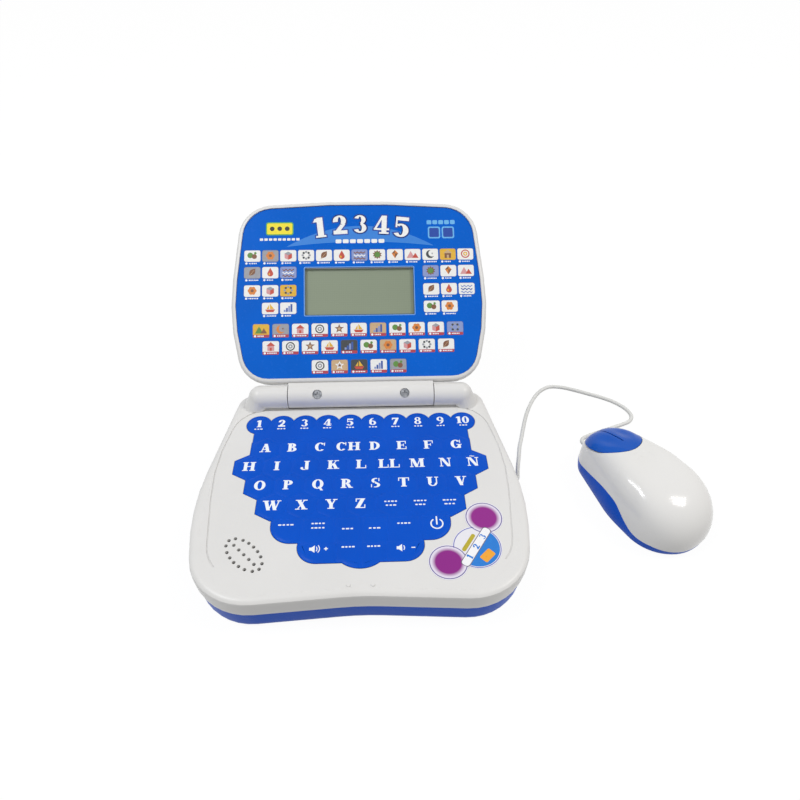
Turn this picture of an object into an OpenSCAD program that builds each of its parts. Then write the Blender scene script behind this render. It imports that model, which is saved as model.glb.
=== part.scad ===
// Toy laptop computer with a corded toy mouse.
// The origin is the middle of the laptop's flat underside: +X right, +Y towards the
// hinge, +Z up. The lid is drawn leaning back on its open stop.

/* [Base] */
// Widest width of the base across its rounded sides
base_w = 180; // [178:0.5:186]
// Depth of the base from the front bulges to the rear wall
base_d = 148; // [147:0.5:154]
// Width of the base at its rear corners
rear_w = 153; // [150:0.5:156]
// Width between the two front corners, before they are rounded
front_w = 162; // [156:0.5:164]
// Radius of the front corners
front_corner_r = 33; // [28:0.5:34]
// How far the middle of the front edge is pulled in between the two bulges
front_notch = 5; // [2:0.5:7]
// Height of the deck above the table
deck_z = 26; // [26:0.25:30]
// Height of the seam between the blue bottom and the white top
seam_z = 11; // [9:0.25:12]
// Wall thickness of the base shells
wall = 2.2; // [1.8:0.1:2.4]
// Rounding of the deck's outer edge
deck_round = 4.2; // [3:0.1:5]

/* [Hinge] */
// Distance of the hinge axis in front of the rear wall
hinge_back = 9.8; // [9.4:0.1:11]
// Diameter of the hinge barrels
barrel_d = 14.4; // [13.6:0.1:15]
// Length of the middle barrel, which belongs to the lid
knuckle_w = 90; // [82:0.5:96]
// Length of each side barrel to the middle of its round end
side_barrel_w = 17.3; // [15:0.1:18.5]
// Diameter of the pins moulded on the side barrels
pin_d = 6; // [5:0.1:7]
// Length of the pins
pin_len = 7.5; // [5:0.1:9]
// Radial clearance of a pin in its bore
pin_fit = 0.06; // [0.03:0.01:0.1]
// Clearance between the ends of the barrels
barrel_gap = 0.5; // [0.4:0.05:1]
// Angle between the closed lid and its open stop
lid_open = 141; // [120:1:145]

/* [Lid] */
// Width between the two side corners of the lid, before they are rounded
lid_side_w = 166; // [160:0.5:168]
// Height of the lid from its lower edge to the middle of its upper edge
lid_h = 119.4; // [112:0.2:120]
// Depth of the lid's front half, from the seam to the rim
lid_front_t = 5; // [4.6:0.1:6]
// Depth of the lid's back half
lid_back_t = 9; // [8.6:0.1:11]
// Wall thickness of the lid shells
lid_wall = 1.8; // [1.5:0.1:2.2]
// Width of the white rim around the printed film
rim_w = 3; // [2.4:0.1:4]
// How far the film lies below the rim
film_sunk = 0.8; // [0.4:0.1:1.2]
// Thickness of the printed film on the lid
film_t = 0.5; // [0.3:0.05:0.6]
// Gap between the closed lid's rim and the deck
lid_gap = 0.5; // [0.4:0.05:1]

/* [Display] */
// Width of the display window
window_w = 68.6; // [60:0.2:70]
// Height of the display window
window_h = 30.6; // [24:0.2:32]
// Height of the window's middle above the hinge axis, along the lid
window_v = 66.6; // [64:0.2:70]
// Thickness of the liquid crystal glass
glass_t = 2.8; // [2:0.1:3.2]
// How far the glass reaches behind the edge of the window
glass_lap = 3.8; // [3:0.1:4.5]

/* [Keypad] */
// Distance between two letter keys in a row
key_pitch = 16; // [15.5:0.1:16.4]
// Distance between two rows of letter keys
row_pitch = 14.1; // [13.9:0.05:14.4]
// Distance between two number keys
number_pitch = 13.8; // [13:0.1:14]
// Distance of the number row behind the middle of the letter rows
number_back = 41; // [40.5:0.1:41.5]
// Place of the middle of the letter rows behind the middle of the base
keys_y = 4; // [3:0.1:4.6]
// Depth of the pocket that the keypad lies in
pocket_z = 1; // [0.9:0.05:1.2]
// Thickness of each of the two lower sheets of the keypad
sheet_t = 0.25; // [0.15:0.05:0.3]
// Height of the embossed key tops above the deck
key_rise = 0.8; // [0.5:0.05:1]
// Clearance around the keypad in its pocket
pocket_fit = 0.3; // [0.2:0.05:0.5]

/* [Speaker] */
// Long half of the oval of grille holes
grille_a = 12.3; // [10:0.1:13]
// Short half of the oval of grille holes
grille_b = 6.2; // [5:0.1:7]
// Diameter of a grille hole
grille_d = 1.9; // [1.4:0.1:2.2]
// Diameter of the speaker
speaker_d = 36; // [30:0.5:37]
// Depth of the speaker behind its flange
speaker_t = 9; // [7:0.2:10]

/* [Battery] */
// Diameter of a cell
cell_d = 14.2; // [14:0.1:14.5]
// Length of a cell with its cap
cell_len = 50.5; // [49.5:0.1:50.5]
// Distance between two cells
cell_pitch = 14.9; // [14.7:0.1:15.2]
// Thickness of the battery door
door_t = 2; // [1.6:0.1:2.4]
// Clearance around the battery door
door_fit = 0.3; // [0.2:0.05:0.5]

/* [Mouse] */
// Length of the mouse
mouse_l = 85.5; // [80:0.5:90]
// Width of the mouse at its middle
mouse_w = 50.5; // [48:0.5:54]
// Height of the mouse
mouse_h = 34; // [32:0.5:37]
// Wall thickness of the mouse shells
mouse_wall = 2; // [1.6:0.1:2.2]
// Width of the slit between the two buttons
slit_w = 0.8; // [0.6:0.05:1.2]
// Gap around the moving parts of the buttons
button_gap = 0.35; // [0.3:0.05:0.6]
// Turn of the mouse on the table
mouse_turn = 28.5; // [20:0.5:36]
// Diameter of the mouse cord
cord_d = 2.5; // [2.2:0.1:2.6]

/* [Hidden] */
$fn = 48;

white = "#ececee";
blue = "#1457c4";
silver = "#b9bcc2";
copper = "#c98f4a";
board_green = "#1f6b3a";
eps = 0.01;

// ---- outlines -----------------------------------------------------------------------
function unit(v) = v / norm(v);
function turn_of(a) = a > 180 ? a - 360 : a < -180 ? a + 360 : a;

// Points of one rounded corner, each with its outward normal.
function corner_arc(before, at, after, r, steps) =
    let (a = unit(before - at), b = unit(after - at), half = acos(a * b) / 2,
         centre = at + unit(a + b) * r / sin(half),
         s = at + a * r / tan(half) - centre, e = at + b * r / tan(half) - centre,
         start = atan2(s.y, s.x), turn = turn_of(atan2(e.y, e.x) - start),
         side = turn > 0 ? 1 : -1)
    [for (k = [0 : steps]) let (t = start + turn * k / steps, d = [cos(t), sin(t)])
        [centre + r * d, side * d]];

// A closed outline from corners given anticlockwise as [x, y, radius, steps].
function outline(c) = [for (i = [0 : len(c) - 1])
    let (p = c[(i + len(c) - 1) % len(c)], q = c[i], n = c[(i + 1) % len(c)])
    each corner_arc([p.x, p.y], [q.x, q.y], [n.x, n.y], q[2], q[3])];
function inset(o, d) = [for (q = o) q[0] - d * q[1]];
function ring(o, d, z) = [for (q = o) let (p = q[0] - d * q[1]) [p.x, p.y, z]];
function mirror_half(half) = concat(half, [for (i = [len(half) - 1 : -1 : 0])
    [-half[i].x, half[i].y, half[i][2], half[i][3]]]);

// A closed solid over a stack of rings with equal numbers of points.
module skin(rings) {
    n = len(rings[0]);
    m = len(rings);
    sides = [for (k = [0 : m - 2], i = [0 : n - 1])
        let (j = (i + 1) % n, a = k * n + i, b = k * n + j, c = (k + 1) * n + j, d = (k + 1) * n + i)
        each [[a, d, c], [a, c, b]]];
    polyhedron(points = [for (r = rings) each r],
               faces = concat([[for (i = [0 : n - 1]) i]], sides,
                              [[for (i = [n - 1 : -1 : 0]) (m - 1) * n + i]]));
}

// A round tube of radius r along a list of points.
module tube(path, r, sides) {
    last = len(path) - 1;
    skin([for (i = [0 : last])
        let (t = unit(path[min(i + 1, last)] - path[max(i - 1, 0)]),
             u = unit(cross(abs(t.z) > 0.9 ? [0, 1, 0] : [0, 0, 1], t)), w = cross(t, u))
        [for (k = [0 : sides - 1])
            path[i] + r * (cos(360 * k / sides) * u + sin(360 * k / sides) * w)]]);
}

// A pan head screw whose head seat is at z = 0 and whose shank runs up.
module screw(head_d, head_h, shank_d, shank_len) {
    difference() {
        union() {
            translate([0, 0, -head_h]) cylinder(d = head_d, h = head_h);
            cylinder(d = shank_d, h = shank_len);
        }
        for (a = [0, 90]) rotate([0, 0, a])
            translate([-head_d * 0.3, -head_d * 0.07, -head_h - eps])
                cube([head_d * 0.6, head_d * 0.14, head_h * 0.5]);
    }
}

// ---- base ---------------------------------------------------------------------------
rear_y = base_d / 2;
belly = 2.5;
belly_y = -18.5;
front_y = -rear_y - belly;
rear_corner_r = 10;
base_half = [[front_w / 2, front_y, front_corner_r, 9],
             [base_w / 2 + belly, belly_y, 150, 4],
             [rear_w / 2, rear_y, rear_corner_r, 6]];
base_line = outline(concat([[0, front_y + front_notch, 176, 3]], mirror_half(base_half)));
bottom_draft = 1.2;
floor_t = 2.4;
deck_under = deck_z - wall;
stop_y = front_y + front_notch + deck_round + 0.9;

// Screws that close the base, from below.
screw_spots = [for (s = [1, -1]) each [[s * 34, front_y + 13], [s * (base_w / 2 - 10.5), -12],
                                       [s * (rear_w / 2 - 10.5), rear_y - 30]]];
post_d = 8.4;
boss_d = 6.8;
boss_split_z = 12;
head_seat_z = 7;
screw_d = 2.6;
screw_fit = 0.05;
screw_len = 12.5;
screw_head_d = 5.4;
screw_head_h = 2;

// Where the mouse cord leaves the right-hand wall, in the blue shell.
exit_y = 12;
exit_z = 6.5;
side_slope = (rear_w / 2 - base_w / 2 - belly) / (rear_y - belly_y);
exit_turn = -atan(side_slope);
exit_inset = bottom_draft + (seam_z - exit_z) / (seam_z - 4);
exit_x = base_w / 2 + belly + side_slope * (exit_y - belly_y) - exit_inset / cos(exit_turn);
bush_d = 4.6;
bush_flange_d = 6.6;
bush_flange_t = 1.2;

// ---- hinge --------------------------------------------------------------------------
hinge_y = rear_y - hinge_back;
hinge_z = deck_z + lid_gap + lid_front_t;
barrel_r = barrel_d / 2;
trough_r = barrel_r + 0.5;
trough_wall = 2;
knuckle_x = knuckle_w / 2;
side_in = knuckle_x + barrel_gap;
side_out = side_in + side_barrel_w;
cable_d = 2.2;
cable_bore = 3.2;
cable_x = side_in + 6;

// Places children on the hinge axis, with +Y up the open lid and +Z out of its face.
module on_lid() {
    translate([0, hinge_y, hinge_z]) rotate([180 - lid_open, 0, 0]) children();
}

// ---- lid ----------------------------------------------------------------------------
lid_foot = barrel_r + 0.6;
lid_top = lid_foot + lid_h;
lid_side_v = lid_foot + 41;
lid_half = [[72, lid_foot, 19, 6], [lid_side_w / 2, lid_side_v, 140, 3],
            [75, lid_top - 3.7, 22, 7]];
lid_line = outline(concat(lid_half, [[0, lid_top + 2.3, 690, 3]],
                          [for (i = [2 : -1 : 0]) [-lid_half[i].x, lid_half[i].y,
                                                   lid_half[i][2], lid_half[i][3]]]));
film_z = lid_front_t - film_sunk;
plate_z = film_z - film_t;
plate_t = 1.5;
glass_z = plate_z - plate_t;
lid_boss_z = -1;
lid_seat_z = -5;
lid_screw_spots = [[66, 24], [-66, 24], [62, 112], [-62, 112]];
lid_screw_len = 6.4;
board_screw_d = 2;
display_board_w = window_w + 26.4;
display_board_h = window_h + 13.4;
display_posts = [for (s = [-1, 1], t = [-1, 1])
    [s * (display_board_w / 2 - 3.5), window_v + t * (display_board_h / 2 - 3.4)]];
display_board_z = glass_z - glass_t - 3;
display_board_t = 1.6;

// ---- keypad -------------------------------------------------------------------------
number_y = keys_y + number_back;
lobe_r = 7.5;
cell_r = key_pitch / sqrt(3) + 0.6;
letter_rows = [8, 9, 8, 7];
wide_y = keys_y - 37.2;
low_y = keys_y - 51;
wide_edges = [-47.3, -31.3, -14, 0, 14, 31.3, 47.3];
low_edges = [-32.5, -12.6, 0, 12.6, 32.5];
seam = 0.6;
function row_xs(count, pitch) = [for (i = [0 : count - 1]) (i - (count - 1) / 2) * pitch];
number_spots = [for (x = row_xs(10, number_pitch)) [x, number_y]];
letter_spots = [for (k = [0 : 3], x = row_xs(letter_rows[k], key_pitch))
    [x, keys_y + (1.5 - k) * row_pitch]];
function bar_spots(edges, y) = [for (i = [1 : len(edges) - 1]) [(edges[i - 1] + edges[i]) / 2, y]];
key_spots = concat(number_spots, letter_spots, bar_spots(wide_edges, wide_y),
                   bar_spots(low_edges, low_y + 3));
pocket_floor = deck_z - pocket_z;
tail_y = -21;
tail_w = 20;

// ---- speaker ------------------------------------------------------------------------
speaker_at = [31.1 - base_w / 2, front_y + 29.3];
grille_step = 3.6;
grille_turn = -45;
flange_t = 1.2;

// ---- main board ---------------------------------------------------------------------
board_t = 1.6;
board_z = 15;
board_x = [-30, 64];
board_y = [-58, -11];
board_spots = [for (x = [board_x[0] + 5, board_x[1] - 5], y = [board_y[0] + 4.5, board_y[1] - 4.5])
    [x, y]];

// ---- battery bay --------------------------------------------------------------------
bay_y = 29.5;
bay_w = cell_len + 6.5;
bay_d = 3 * cell_pitch + 0.6;
bay_wall = 1.6;
ledge = 2.2;
cell_z = door_t + 0.3 + cell_d / 2;
bay_top = cell_z + cell_d / 2 + 0.4;
door_w = bay_w + 2 * ledge;
door_d = bay_d + 2 * ledge;
ear_x = door_w / 2 + 3;
ear_r = 5.2;
door_seat_z = 1.5;
contact_t = 0.4;

// ---- mouse --------------------------------------------------------------------------
mouse_at = [163.6, 0.9, 0];
mouse_nose = mouse_l / 2;
mouse_floor = 0.8;
mouse_belt = 8;
mouse_peak_y = 10;
mouse_half = [[mouse_w / 2 + 1.7, -mouse_nose, 25.5, 9], [mouse_w / 2 + 1, -1, 55, 4],
              [14.6, mouse_nose, 16, 7]];
mouse_line = outline(mirror_half(mouse_half));
button_rear_y = 12.3;
button_arc = 14.4;
button_hinge_y = 22;
button_travel = 1;
button_low_z = 28.6;
button_slope = 24;
mouse_screw_spots = [[0, -24], [0, 6]];
mouse_post_d = 7;
mouse_split_z = 12;
mouse_bush_z = 6.4;
flange_z = mouse_split_z;
bridge_t = 1.6;
mouse_board_z = 5;
switch_z = mouse_board_z + 6.4;

module at_mouse() { translate(mouse_at) rotate([0, 0, mouse_turn]) children(); }
function mouse_place(p) = mouse_at + [p.x * cos(mouse_turn) - p.y * sin(mouse_turn),
                                      p.x * sin(mouse_turn) + p.y * cos(mouse_turn), p.z];

// ---- mouse cord ---------------------------------------------------------------------
cord_out = [cos(exit_turn), sin(exit_turn), 0];
cord_in = [sin(mouse_turn), -cos(mouse_turn), 0];
cord_start = [exit_x, exit_y, exit_z] + bush_flange_t * cord_out;
cord_end = mouse_place([0, mouse_nose + bush_flange_t, mouse_bush_z]);
lie = cord_d / 2;
cord_stops = [[90, 12.7, 6.3], [93, 15, 4.8], [94.8, 18.5, 2.9], [95.8, 23, 1.6],
              [97, 28.5, lie], [99, 36.5, lie], [101, 45, lie], [103.5, 52.5, lie],
              [106.3, 61.5, lie], [110.3, 73, lie], [114, 81.5, lie], [119, 90.5, lie],
              [125, 98, lie], [132, 102.3, lie], [139, 102.3, lie], [146.5, 100, lie],
              [157.5, 95, lie], [168.5, 89.5, lie], [175.5, 84.5, lie], [180.8, 78, lie],
              [182.3, 71.5, lie], [179.5, 66.5, lie], [174, 63.7, lie], [166.5, 60.8, lie],
              [158.5, 57.8, lie], [150, 54, 1.9], [143.3, 49.5, 3.6], [140.8, 44.5, 5.4]];
cord_steps = 3;
cord_path = concat([cord_start], smooth(concat([cord_start + 0.5 * cord_out], cord_stops,
                                               [cord_end - 0.5 * cord_in]), cord_steps), [cord_end]);

// A smooth curve through points, with the given number of steps between two of them.
function smooth(p, steps) = let (m = len(p) - 1)
    concat([for (i = [0 : m - 1], k = [0 : steps - 1])
        let (a = p[max(i - 1, 0)], b = p[i], c = p[i + 1], d = p[min(i + 2, m)], t = k / steps)
        0.5 * (2 * b + (c - a) * t + (2 * a - 5 * b + 4 * c - d) * t * t
               + (3 * b - a - 3 * c + d) * t * t * t)], [p[m]]);

// =====================================================================================
// Base
// =====================================================================================
module tub_outer() {
    skin([ring(base_line, 5.2, 0), ring(base_line, 3.9, 0.5), ring(base_line, 2.9, 1.6),
          ring(base_line, 2.2, 4), ring(base_line, bottom_draft, seam_z)]);
}
module tub_inner() {
    skin([ring(base_line, wall + 3.4, floor_t), ring(base_line, wall + 2.2, floor_t + 1.6),
          ring(base_line, wall + bottom_draft, seam_z + 1)]);
}
module door_outline(grow) {
    translate([0, bay_y]) {
        square([door_w + 2 * grow, door_d + 2 * grow], center = true);
        for (s = [-1, 1]) translate([s * ear_x, 0]) circle(r = ear_r + grow);
    }
}
module bay_box(grow, z0, z1) {
    translate([-bay_w / 2 - grow, bay_y - bay_d / 2 - grow, z0])
        cube([bay_w + 2 * grow, bay_d + 2 * grow, z1 - z0]);
}
module cord_axis() {
    translate([exit_x, exit_y, exit_z]) rotate([0, 90, exit_turn]) children();
}

module base_bottom_shell() {
    color(blue) difference() {
        union() {
            difference() {
                tub_outer();
                tub_inner();
            }
            for (p = screw_spots) translate([p.x, p.y, floor_t - 1])
                cylinder(d = post_d, h = boss_split_z - floor_t + 1);
            translate([0, 0, floor_t - 1]) linear_extrude(door_t + 2.8 - floor_t)
                door_outline(bay_wall);
            bay_box(bay_wall, floor_t - 1, bay_top + bay_wall);
            for (s = [-1, 1]) translate([s * ear_x, bay_y, floor_t])
                cylinder(d = post_d + 1, h = 9);
        }
        for (p = screw_spots) translate([p.x, p.y, 0]) {
            translate([0, 0, -1]) cylinder(d = screw_head_d + 0.6, h = head_seat_z + 1);
            cylinder(d = screw_d + 0.4, h = boss_split_z + 1);
        }
        translate([0, 0, -1]) linear_extrude(door_t + 1) door_outline(0);
        bay_box(0, 0, bay_top);
        for (s = [-1, 1]) translate([s * ear_x, bay_y, 0])
            cylinder(d = screw_d + 2 * screw_fit, h = 10);
        cord_axis() {
            translate([0, 0, -wall - 2]) cylinder(d = bush_d + 0.1, h = wall + 4);
            cylinder(d = bush_flange_d + 0.6, h = 2);
        }
    }
}

module grille_holes() {
    ends = [-grille_a, grille_a];
    translate([speaker_at.x, speaker_at.y, 0]) rotate([0, 0, grille_turn]) {
        for (k = [-3 : 3], s = [-1, 1])
            let (u = k * grille_step) translate([u, s * grille_b * sqrt(1 - pow(u / grille_a, 2)), 0])
                children();
        for (u = ends) translate([u, 0, 0]) children();
        for (k = [-2 : 2]) translate([k * grille_a / 3, 0, 0]) children();
    }
}
module keypad_outline(grow) {
    for (p = number_spots) translate(p) circle(r = lobe_r + grow);
    translate([-number_pitch * 4.65 - grow, keys_y + 20])
        square([number_pitch * 9.3 + 2 * grow, number_back - 17]);
    for (p = letter_spots) translate(p) rotate(30) circle(r = cell_r + grow, $fn = 6);
    translate([-3 * key_pitch, keys_y - 2 * row_pitch]) square([6 * key_pitch, 4 * row_pitch]);
    rounded_bar(wide_edges[6], wide_y - 8.1, 11, 19.8, grow);
    for (s = [-1, 1]) translate([s * (low_edges[4] - 10), low_y + 3.4]) circle(r = 10 + grow);
    translate([low_edges[0] + 10, low_y - 6.6 - grow]) square([2 * (low_edges[4] - 10), 12]);
    translate([0, low_y + 5]) circle(r = 15 + grow);
}
// A bar centred on x = 0 whose two lower corners are rounded.
module rounded_bar(half_w, y0, r, h, grow) {
    for (s = [-1, 1]) translate([s * (half_w - r), y0 + r]) circle(r = r + grow);
    translate([-half_w + r, y0 - grow]) square([2 * (half_w - r), h + 2 * grow]);
    translate([-half_w - grow, y0 + r]) square([2 * (half_w + grow), h - r + grow]);
}
// The track that the closed lid's rim sits in.
module lid_track() {
    translate([0, hinge_y]) scale([1, -1]) difference() {
        polygon(inset(lid_line, -1.8));
        polygon(inset(lid_line, -1));
    }
}

module side_barrels() {
    for (s = [-1, 1]) {
        translate([s * side_in, hinge_y, hinge_z]) rotate([0, s * 90, 0])
            cylinder(r = barrel_r, h = side_barrel_w);
        translate([s * side_out, hinge_y, hinge_z]) sphere(r = barrel_r);
        translate([s > 0 ? side_in : -side_out - 3, hinge_y - 3, deck_under])
            cube([side_barrel_w + 3, 3 + barrel_r, hinge_z - deck_under]);
        hull() {
            translate([s * side_out, hinge_y, hinge_z]) sphere(r = barrel_r - 0.2, $fn = 24);
            translate([s * (rear_w / 2 - 10.5), rear_y - 11, deck_z - 1])
                cylinder(r = 7.5, h = 1, $fn = 24);
        }
        translate([s * (side_in - pin_len), hinge_y, hinge_z]) rotate([0, s * 90, 0])
            cylinder(d = pin_d, h = pin_len + 1);
    }
}

module base_top_shell() {
    color(white) difference() {
        union() {
            difference() {
                union() {
                    skin([ring(base_line, 0.8, seam_z), ring(base_line, 0.25, seam_z + 4),
                          ring(base_line, 0, deck_z - deck_round),
                          ring(base_line, deck_round * 0.08, deck_z - deck_round * 0.57),
                          ring(base_line, deck_round * 0.3, deck_z - deck_round * 0.25),
                          ring(base_line, deck_round * 0.6, deck_z - deck_round * 0.07),
                          ring(base_line, deck_round, deck_z)]);
                    side_barrels();
                }
                skin([ring(base_line, 0.8 + wall, seam_z - 1),
                      ring(base_line, wall, deck_z - deck_round),
                      ring(base_line, wall + 1.6, deck_under)]);
            }
            intersection() {
                translate([-knuckle_x - barrel_gap - 1, hinge_y, hinge_z]) rotate([0, 90, 0])
                    cylinder(r = trough_r + trough_wall, h = knuckle_w + 2 * barrel_gap + 2);
                translate([-base_w / 2, hinge_y - 20, seam_z + 2])
                    cube([base_w, rear_y - hinge_y + 19.5, deck_z - seam_z - 2]);
            }
            for (p = screw_spots) translate([p.x, p.y, boss_split_z])
                cylinder(d = boss_d, h = deck_z - boss_split_z - 1);
            for (p = board_spots) translate([p.x, p.y, board_z + board_t])
                cylinder(d = 6, h = deck_under - board_z - board_t + 0.5);
            translate([speaker_at.x, speaker_at.y, deck_under - 3]) difference() {
                cylinder(d = speaker_d + 3.4, h = 3.5);
                translate([0, 0, -1]) cylinder(d = speaker_d + 0.4, h = 6);
            }
            for (s = [-1, 1]) translate([s * 6, stop_y, deck_z - 0.5])
                cylinder(r = 0.9, h = 1);
        }
        translate([-side_in, hinge_y, hinge_z]) rotate([0, 90, 0])
            difference() {
                cylinder(r = trough_r, h = 2 * side_in);
                for (z = [-1, 2 * side_in - pin_len]) translate([0, 0, z])
                    cylinder(d = pin_d, h = pin_len + 1);
            }
        for (p = screw_spots) translate([p.x, p.y, head_seat_z])
            cylinder(d = screw_d + 2 * screw_fit, h = screw_len + 0.5);
        for (p = board_spots) translate([p.x, p.y, board_z])
            cylinder(d = board_screw_d + 2 * screw_fit, h = 7);
        translate([0, 0, pocket_floor]) linear_extrude(pocket_z + 1) keypad_outline(pocket_fit);
        translate([-tail_w / 2 - 1, tail_y - 1, deck_under - 1]) cube([tail_w + 2, 2.5, wall + 1]);
        translate([0, 0, deck_z - 0.5]) linear_extrude(1) intersection() {
            lid_track();
            translate([-base_w / 2, -54]) square([base_w, 160]);
        }
        translate([0, 0, deck_under - 1]) grille_holes() cylinder(d = grille_d, h = wall + 2, $fn = 24);
        translate([-side_out, hinge_y, hinge_z]) rotate([0, 90, 0])
            cylinder(d = cable_bore, h = side_barrel_w + pin_len + 2);
        translate([-cable_x, hinge_y, deck_under - 2])
            cylinder(d = cable_bore, h = hinge_z - deck_under + 2);
    }
}

module base_screws() {
    color(silver) for (p = screw_spots) translate([p.x, p.y, head_seat_z])
        screw(screw_head_d, screw_head_h, screw_d, screw_len);
}

module battery_door() {
    rib = 1.2;
    color(blue) difference() {
        union() {
            linear_extrude(door_t) door_outline(-door_fit);
            for (s = [-1, 1])
                translate([-bay_w / 2 + 2, bay_y + s * (bay_d / 2 - door_fit - rib / 2) - rib / 2,
                           door_t - 0.5])
                    cube([bay_w - 4, rib, rib + 0.5]);
        }
        for (s = [-1, 1]) translate([s * ear_x, bay_y, 0]) {
            translate([0, 0, -1]) cylinder(d = screw_head_d, h = door_seat_z + 1);
            cylinder(d = screw_d + 0.4, h = door_t + 1);
        }
        for (k = [-3 : 3]) translate([-12, bay_y + k * 2.4 - 0.5, -1]) cube([24, 1, 1.4]);
    }
}
module battery_door_screws() {
    color(silver) for (s = [-1, 1]) translate([s * ear_x, bay_y, door_seat_z])
        screw(screw_head_d - 0.6, 1.3, screw_d, 7.5);
}

// The cells lie across the bay; every second one is turned round.
module each_cell() {
    for (k = [-1 : 1]) translate([0, bay_y + k * cell_pitch, cell_z]) rotate([0, 0, k == 0 ? 180 : 0])
        children();
}
cell_plus_x = bay_w / 2 - contact_t;
cell_cap = 1.2;
spring_x = cell_plus_x - cell_len;
module battery_cells() {
    color(copper) each_cell() translate([cell_plus_x - cell_len, 0, 0]) rotate([0, 90, 0]) {
        cylinder(d = cell_d, h = cell_len - cell_cap);
        cylinder(d = 5.4, h = cell_len);
    }
}
module battery_contacts() {
    turns = 3;
    x0 = -bay_w / 2 + contact_t + 0.5;
    coil = [for (k = [0 : 10 * turns]) let (t = k / 10 / turns, r = 4.6 - 2 * t, a = 360 * turns * t)
        [x0 + (spring_x - 0.5 - x0) * t, r * cos(a), r * sin(a)]];
    color(silver) each_cell() {
        translate([bay_w / 2 - contact_t, -4.5, -4.5]) cube([contact_t, 9, 9]);
        translate([-bay_w / 2, -4.5, -4.5]) cube([contact_t, 9, 9]);
        tube(coil, 0.5, 6);
    }
}

module main_board() {
    color(board_green) difference() {
        translate([board_x[0], board_y[0], board_z])
            cube([board_x[1] - board_x[0], board_y[1] - board_y[0], board_t]);
        for (p = board_spots) translate([p.x, p.y, board_z - 1])
            cylinder(d = board_screw_d + 0.4, h = board_t + 2);
    }
}
module main_board_parts() {
    translate([18, -36, board_z]) mirror([0, 0, 1]) color("#22252a") cap_of_resin(7.5, 2.2);
    color("#22252a") translate([-tail_w / 2 - 2, tail_y - 2.5, board_z + board_t]) difference() {
        cube([tail_w + 4, 5, 3.4]);
        translate([1.8, 2.1, 0.6]) cube([tail_w + 0.4, 0.8, 4]);
    }
    color("#2a3c8f") translate([45, -32, board_z - 7]) cylinder(d = 6.3, h = 7);
    color("#2a3c8f") translate([45, -44, board_z - 5]) cylinder(d = 5, h = 5);
    color(silver) translate([-8, -30, board_z - 3.6]) cube([4.4, 11, 3.6]);
    for (k = [0 : 5]) color("#b08d5b") translate([-14 + k * 4, -50, board_z - 1]) cube([1.6, 3.2, 1]);
}
// A flat drop of resin, such as covers a bare chip.
module cap_of_resin(r, h) {
    big = (r * r + h * h) / (2 * h);
    full = asin(r / big);
    rotate_extrude() polygon(concat([[0, 0]], [for (k = [6 : -1 : 0])
        [big * sin(full * k / 6), h - big * (1 - cos(full * k / 6))]]));
}
module main_board_screws() {
    color(silver) for (p = board_spots) translate([p.x, p.y, board_z])
        screw(4, 1.4, board_screw_d, 6);
}
module wire_harness() {
    speaker_run = [[-43, -40, 15.2], [-40, -38.5, 12.5], [-35, -37.5, 11.5], [-30, -37, 13],
                   [-28.5, -36.5, 14.2]];
    battery_run = [[-31.2, 11.5, 10], [-34, 8, 10], [-33, -2, 11], [-27, -8, 12.5],
                   [-24.5, -10.2, 15.2]];
    mouse_run = [[exit_x - 4.3, exit_y - 0.75, exit_z], [76, 8, 7.5], [71, 0, 11], [68, -10, 14],
                 [66.5, -20, 15.5], [65, -24, 15.8]];
    for (w = [[speaker_run, "#c0302b"], [battery_run, "#222222"], [mouse_run, white]])
        color(w[1]) tube(smooth(w[0], 3), 0.75, 6);
}

module speaker_frame() {
    rim = speaker_d / 2;
    color("#6f747c") translate([speaker_at.x, speaker_at.y, deck_under]) rotate_extrude()
        polygon([[rim, 0], [rim, -flange_t], [rim - 2.6, -flange_t], [rim - 6.6, 2.8 - speaker_t],
                 [7.4, 2.8 - speaker_t], [7.4, 3.6 - speaker_t], [rim - 7.2, 3.6 - speaker_t],
                 [rim - 4, -flange_t], [rim - 4, -0.7], [rim - 2.4, -0.7], [rim - 2.4, 0]]);
}
module speaker_cone() {
    rim = speaker_d / 2;
    color("#2b2b2e") translate([speaker_at.x, speaker_at.y, deck_under]) rotate_extrude()
        polygon([[0, -3.6], [4.5, -4.8], [rim - 6.4, -1.9], [rim - 5.6, -1], [rim - 4.6, -0.4],
                 [rim - 2.6, -0.4], [rim - 2.6, -0.7], [rim - 4.7, -0.7], [rim - 5.4, -1.3],
                 [rim - 6.2, -2.3], [4.5, -5.2], [0, -4]]);
}
module speaker_magnet() {
    color(silver) translate([speaker_at.x, speaker_at.y, deck_under - speaker_t - 2.6]) {
        cylinder(d = 16, h = 5.4);
        cylinder(d = 13.6, h = 6);
    }
}

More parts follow.
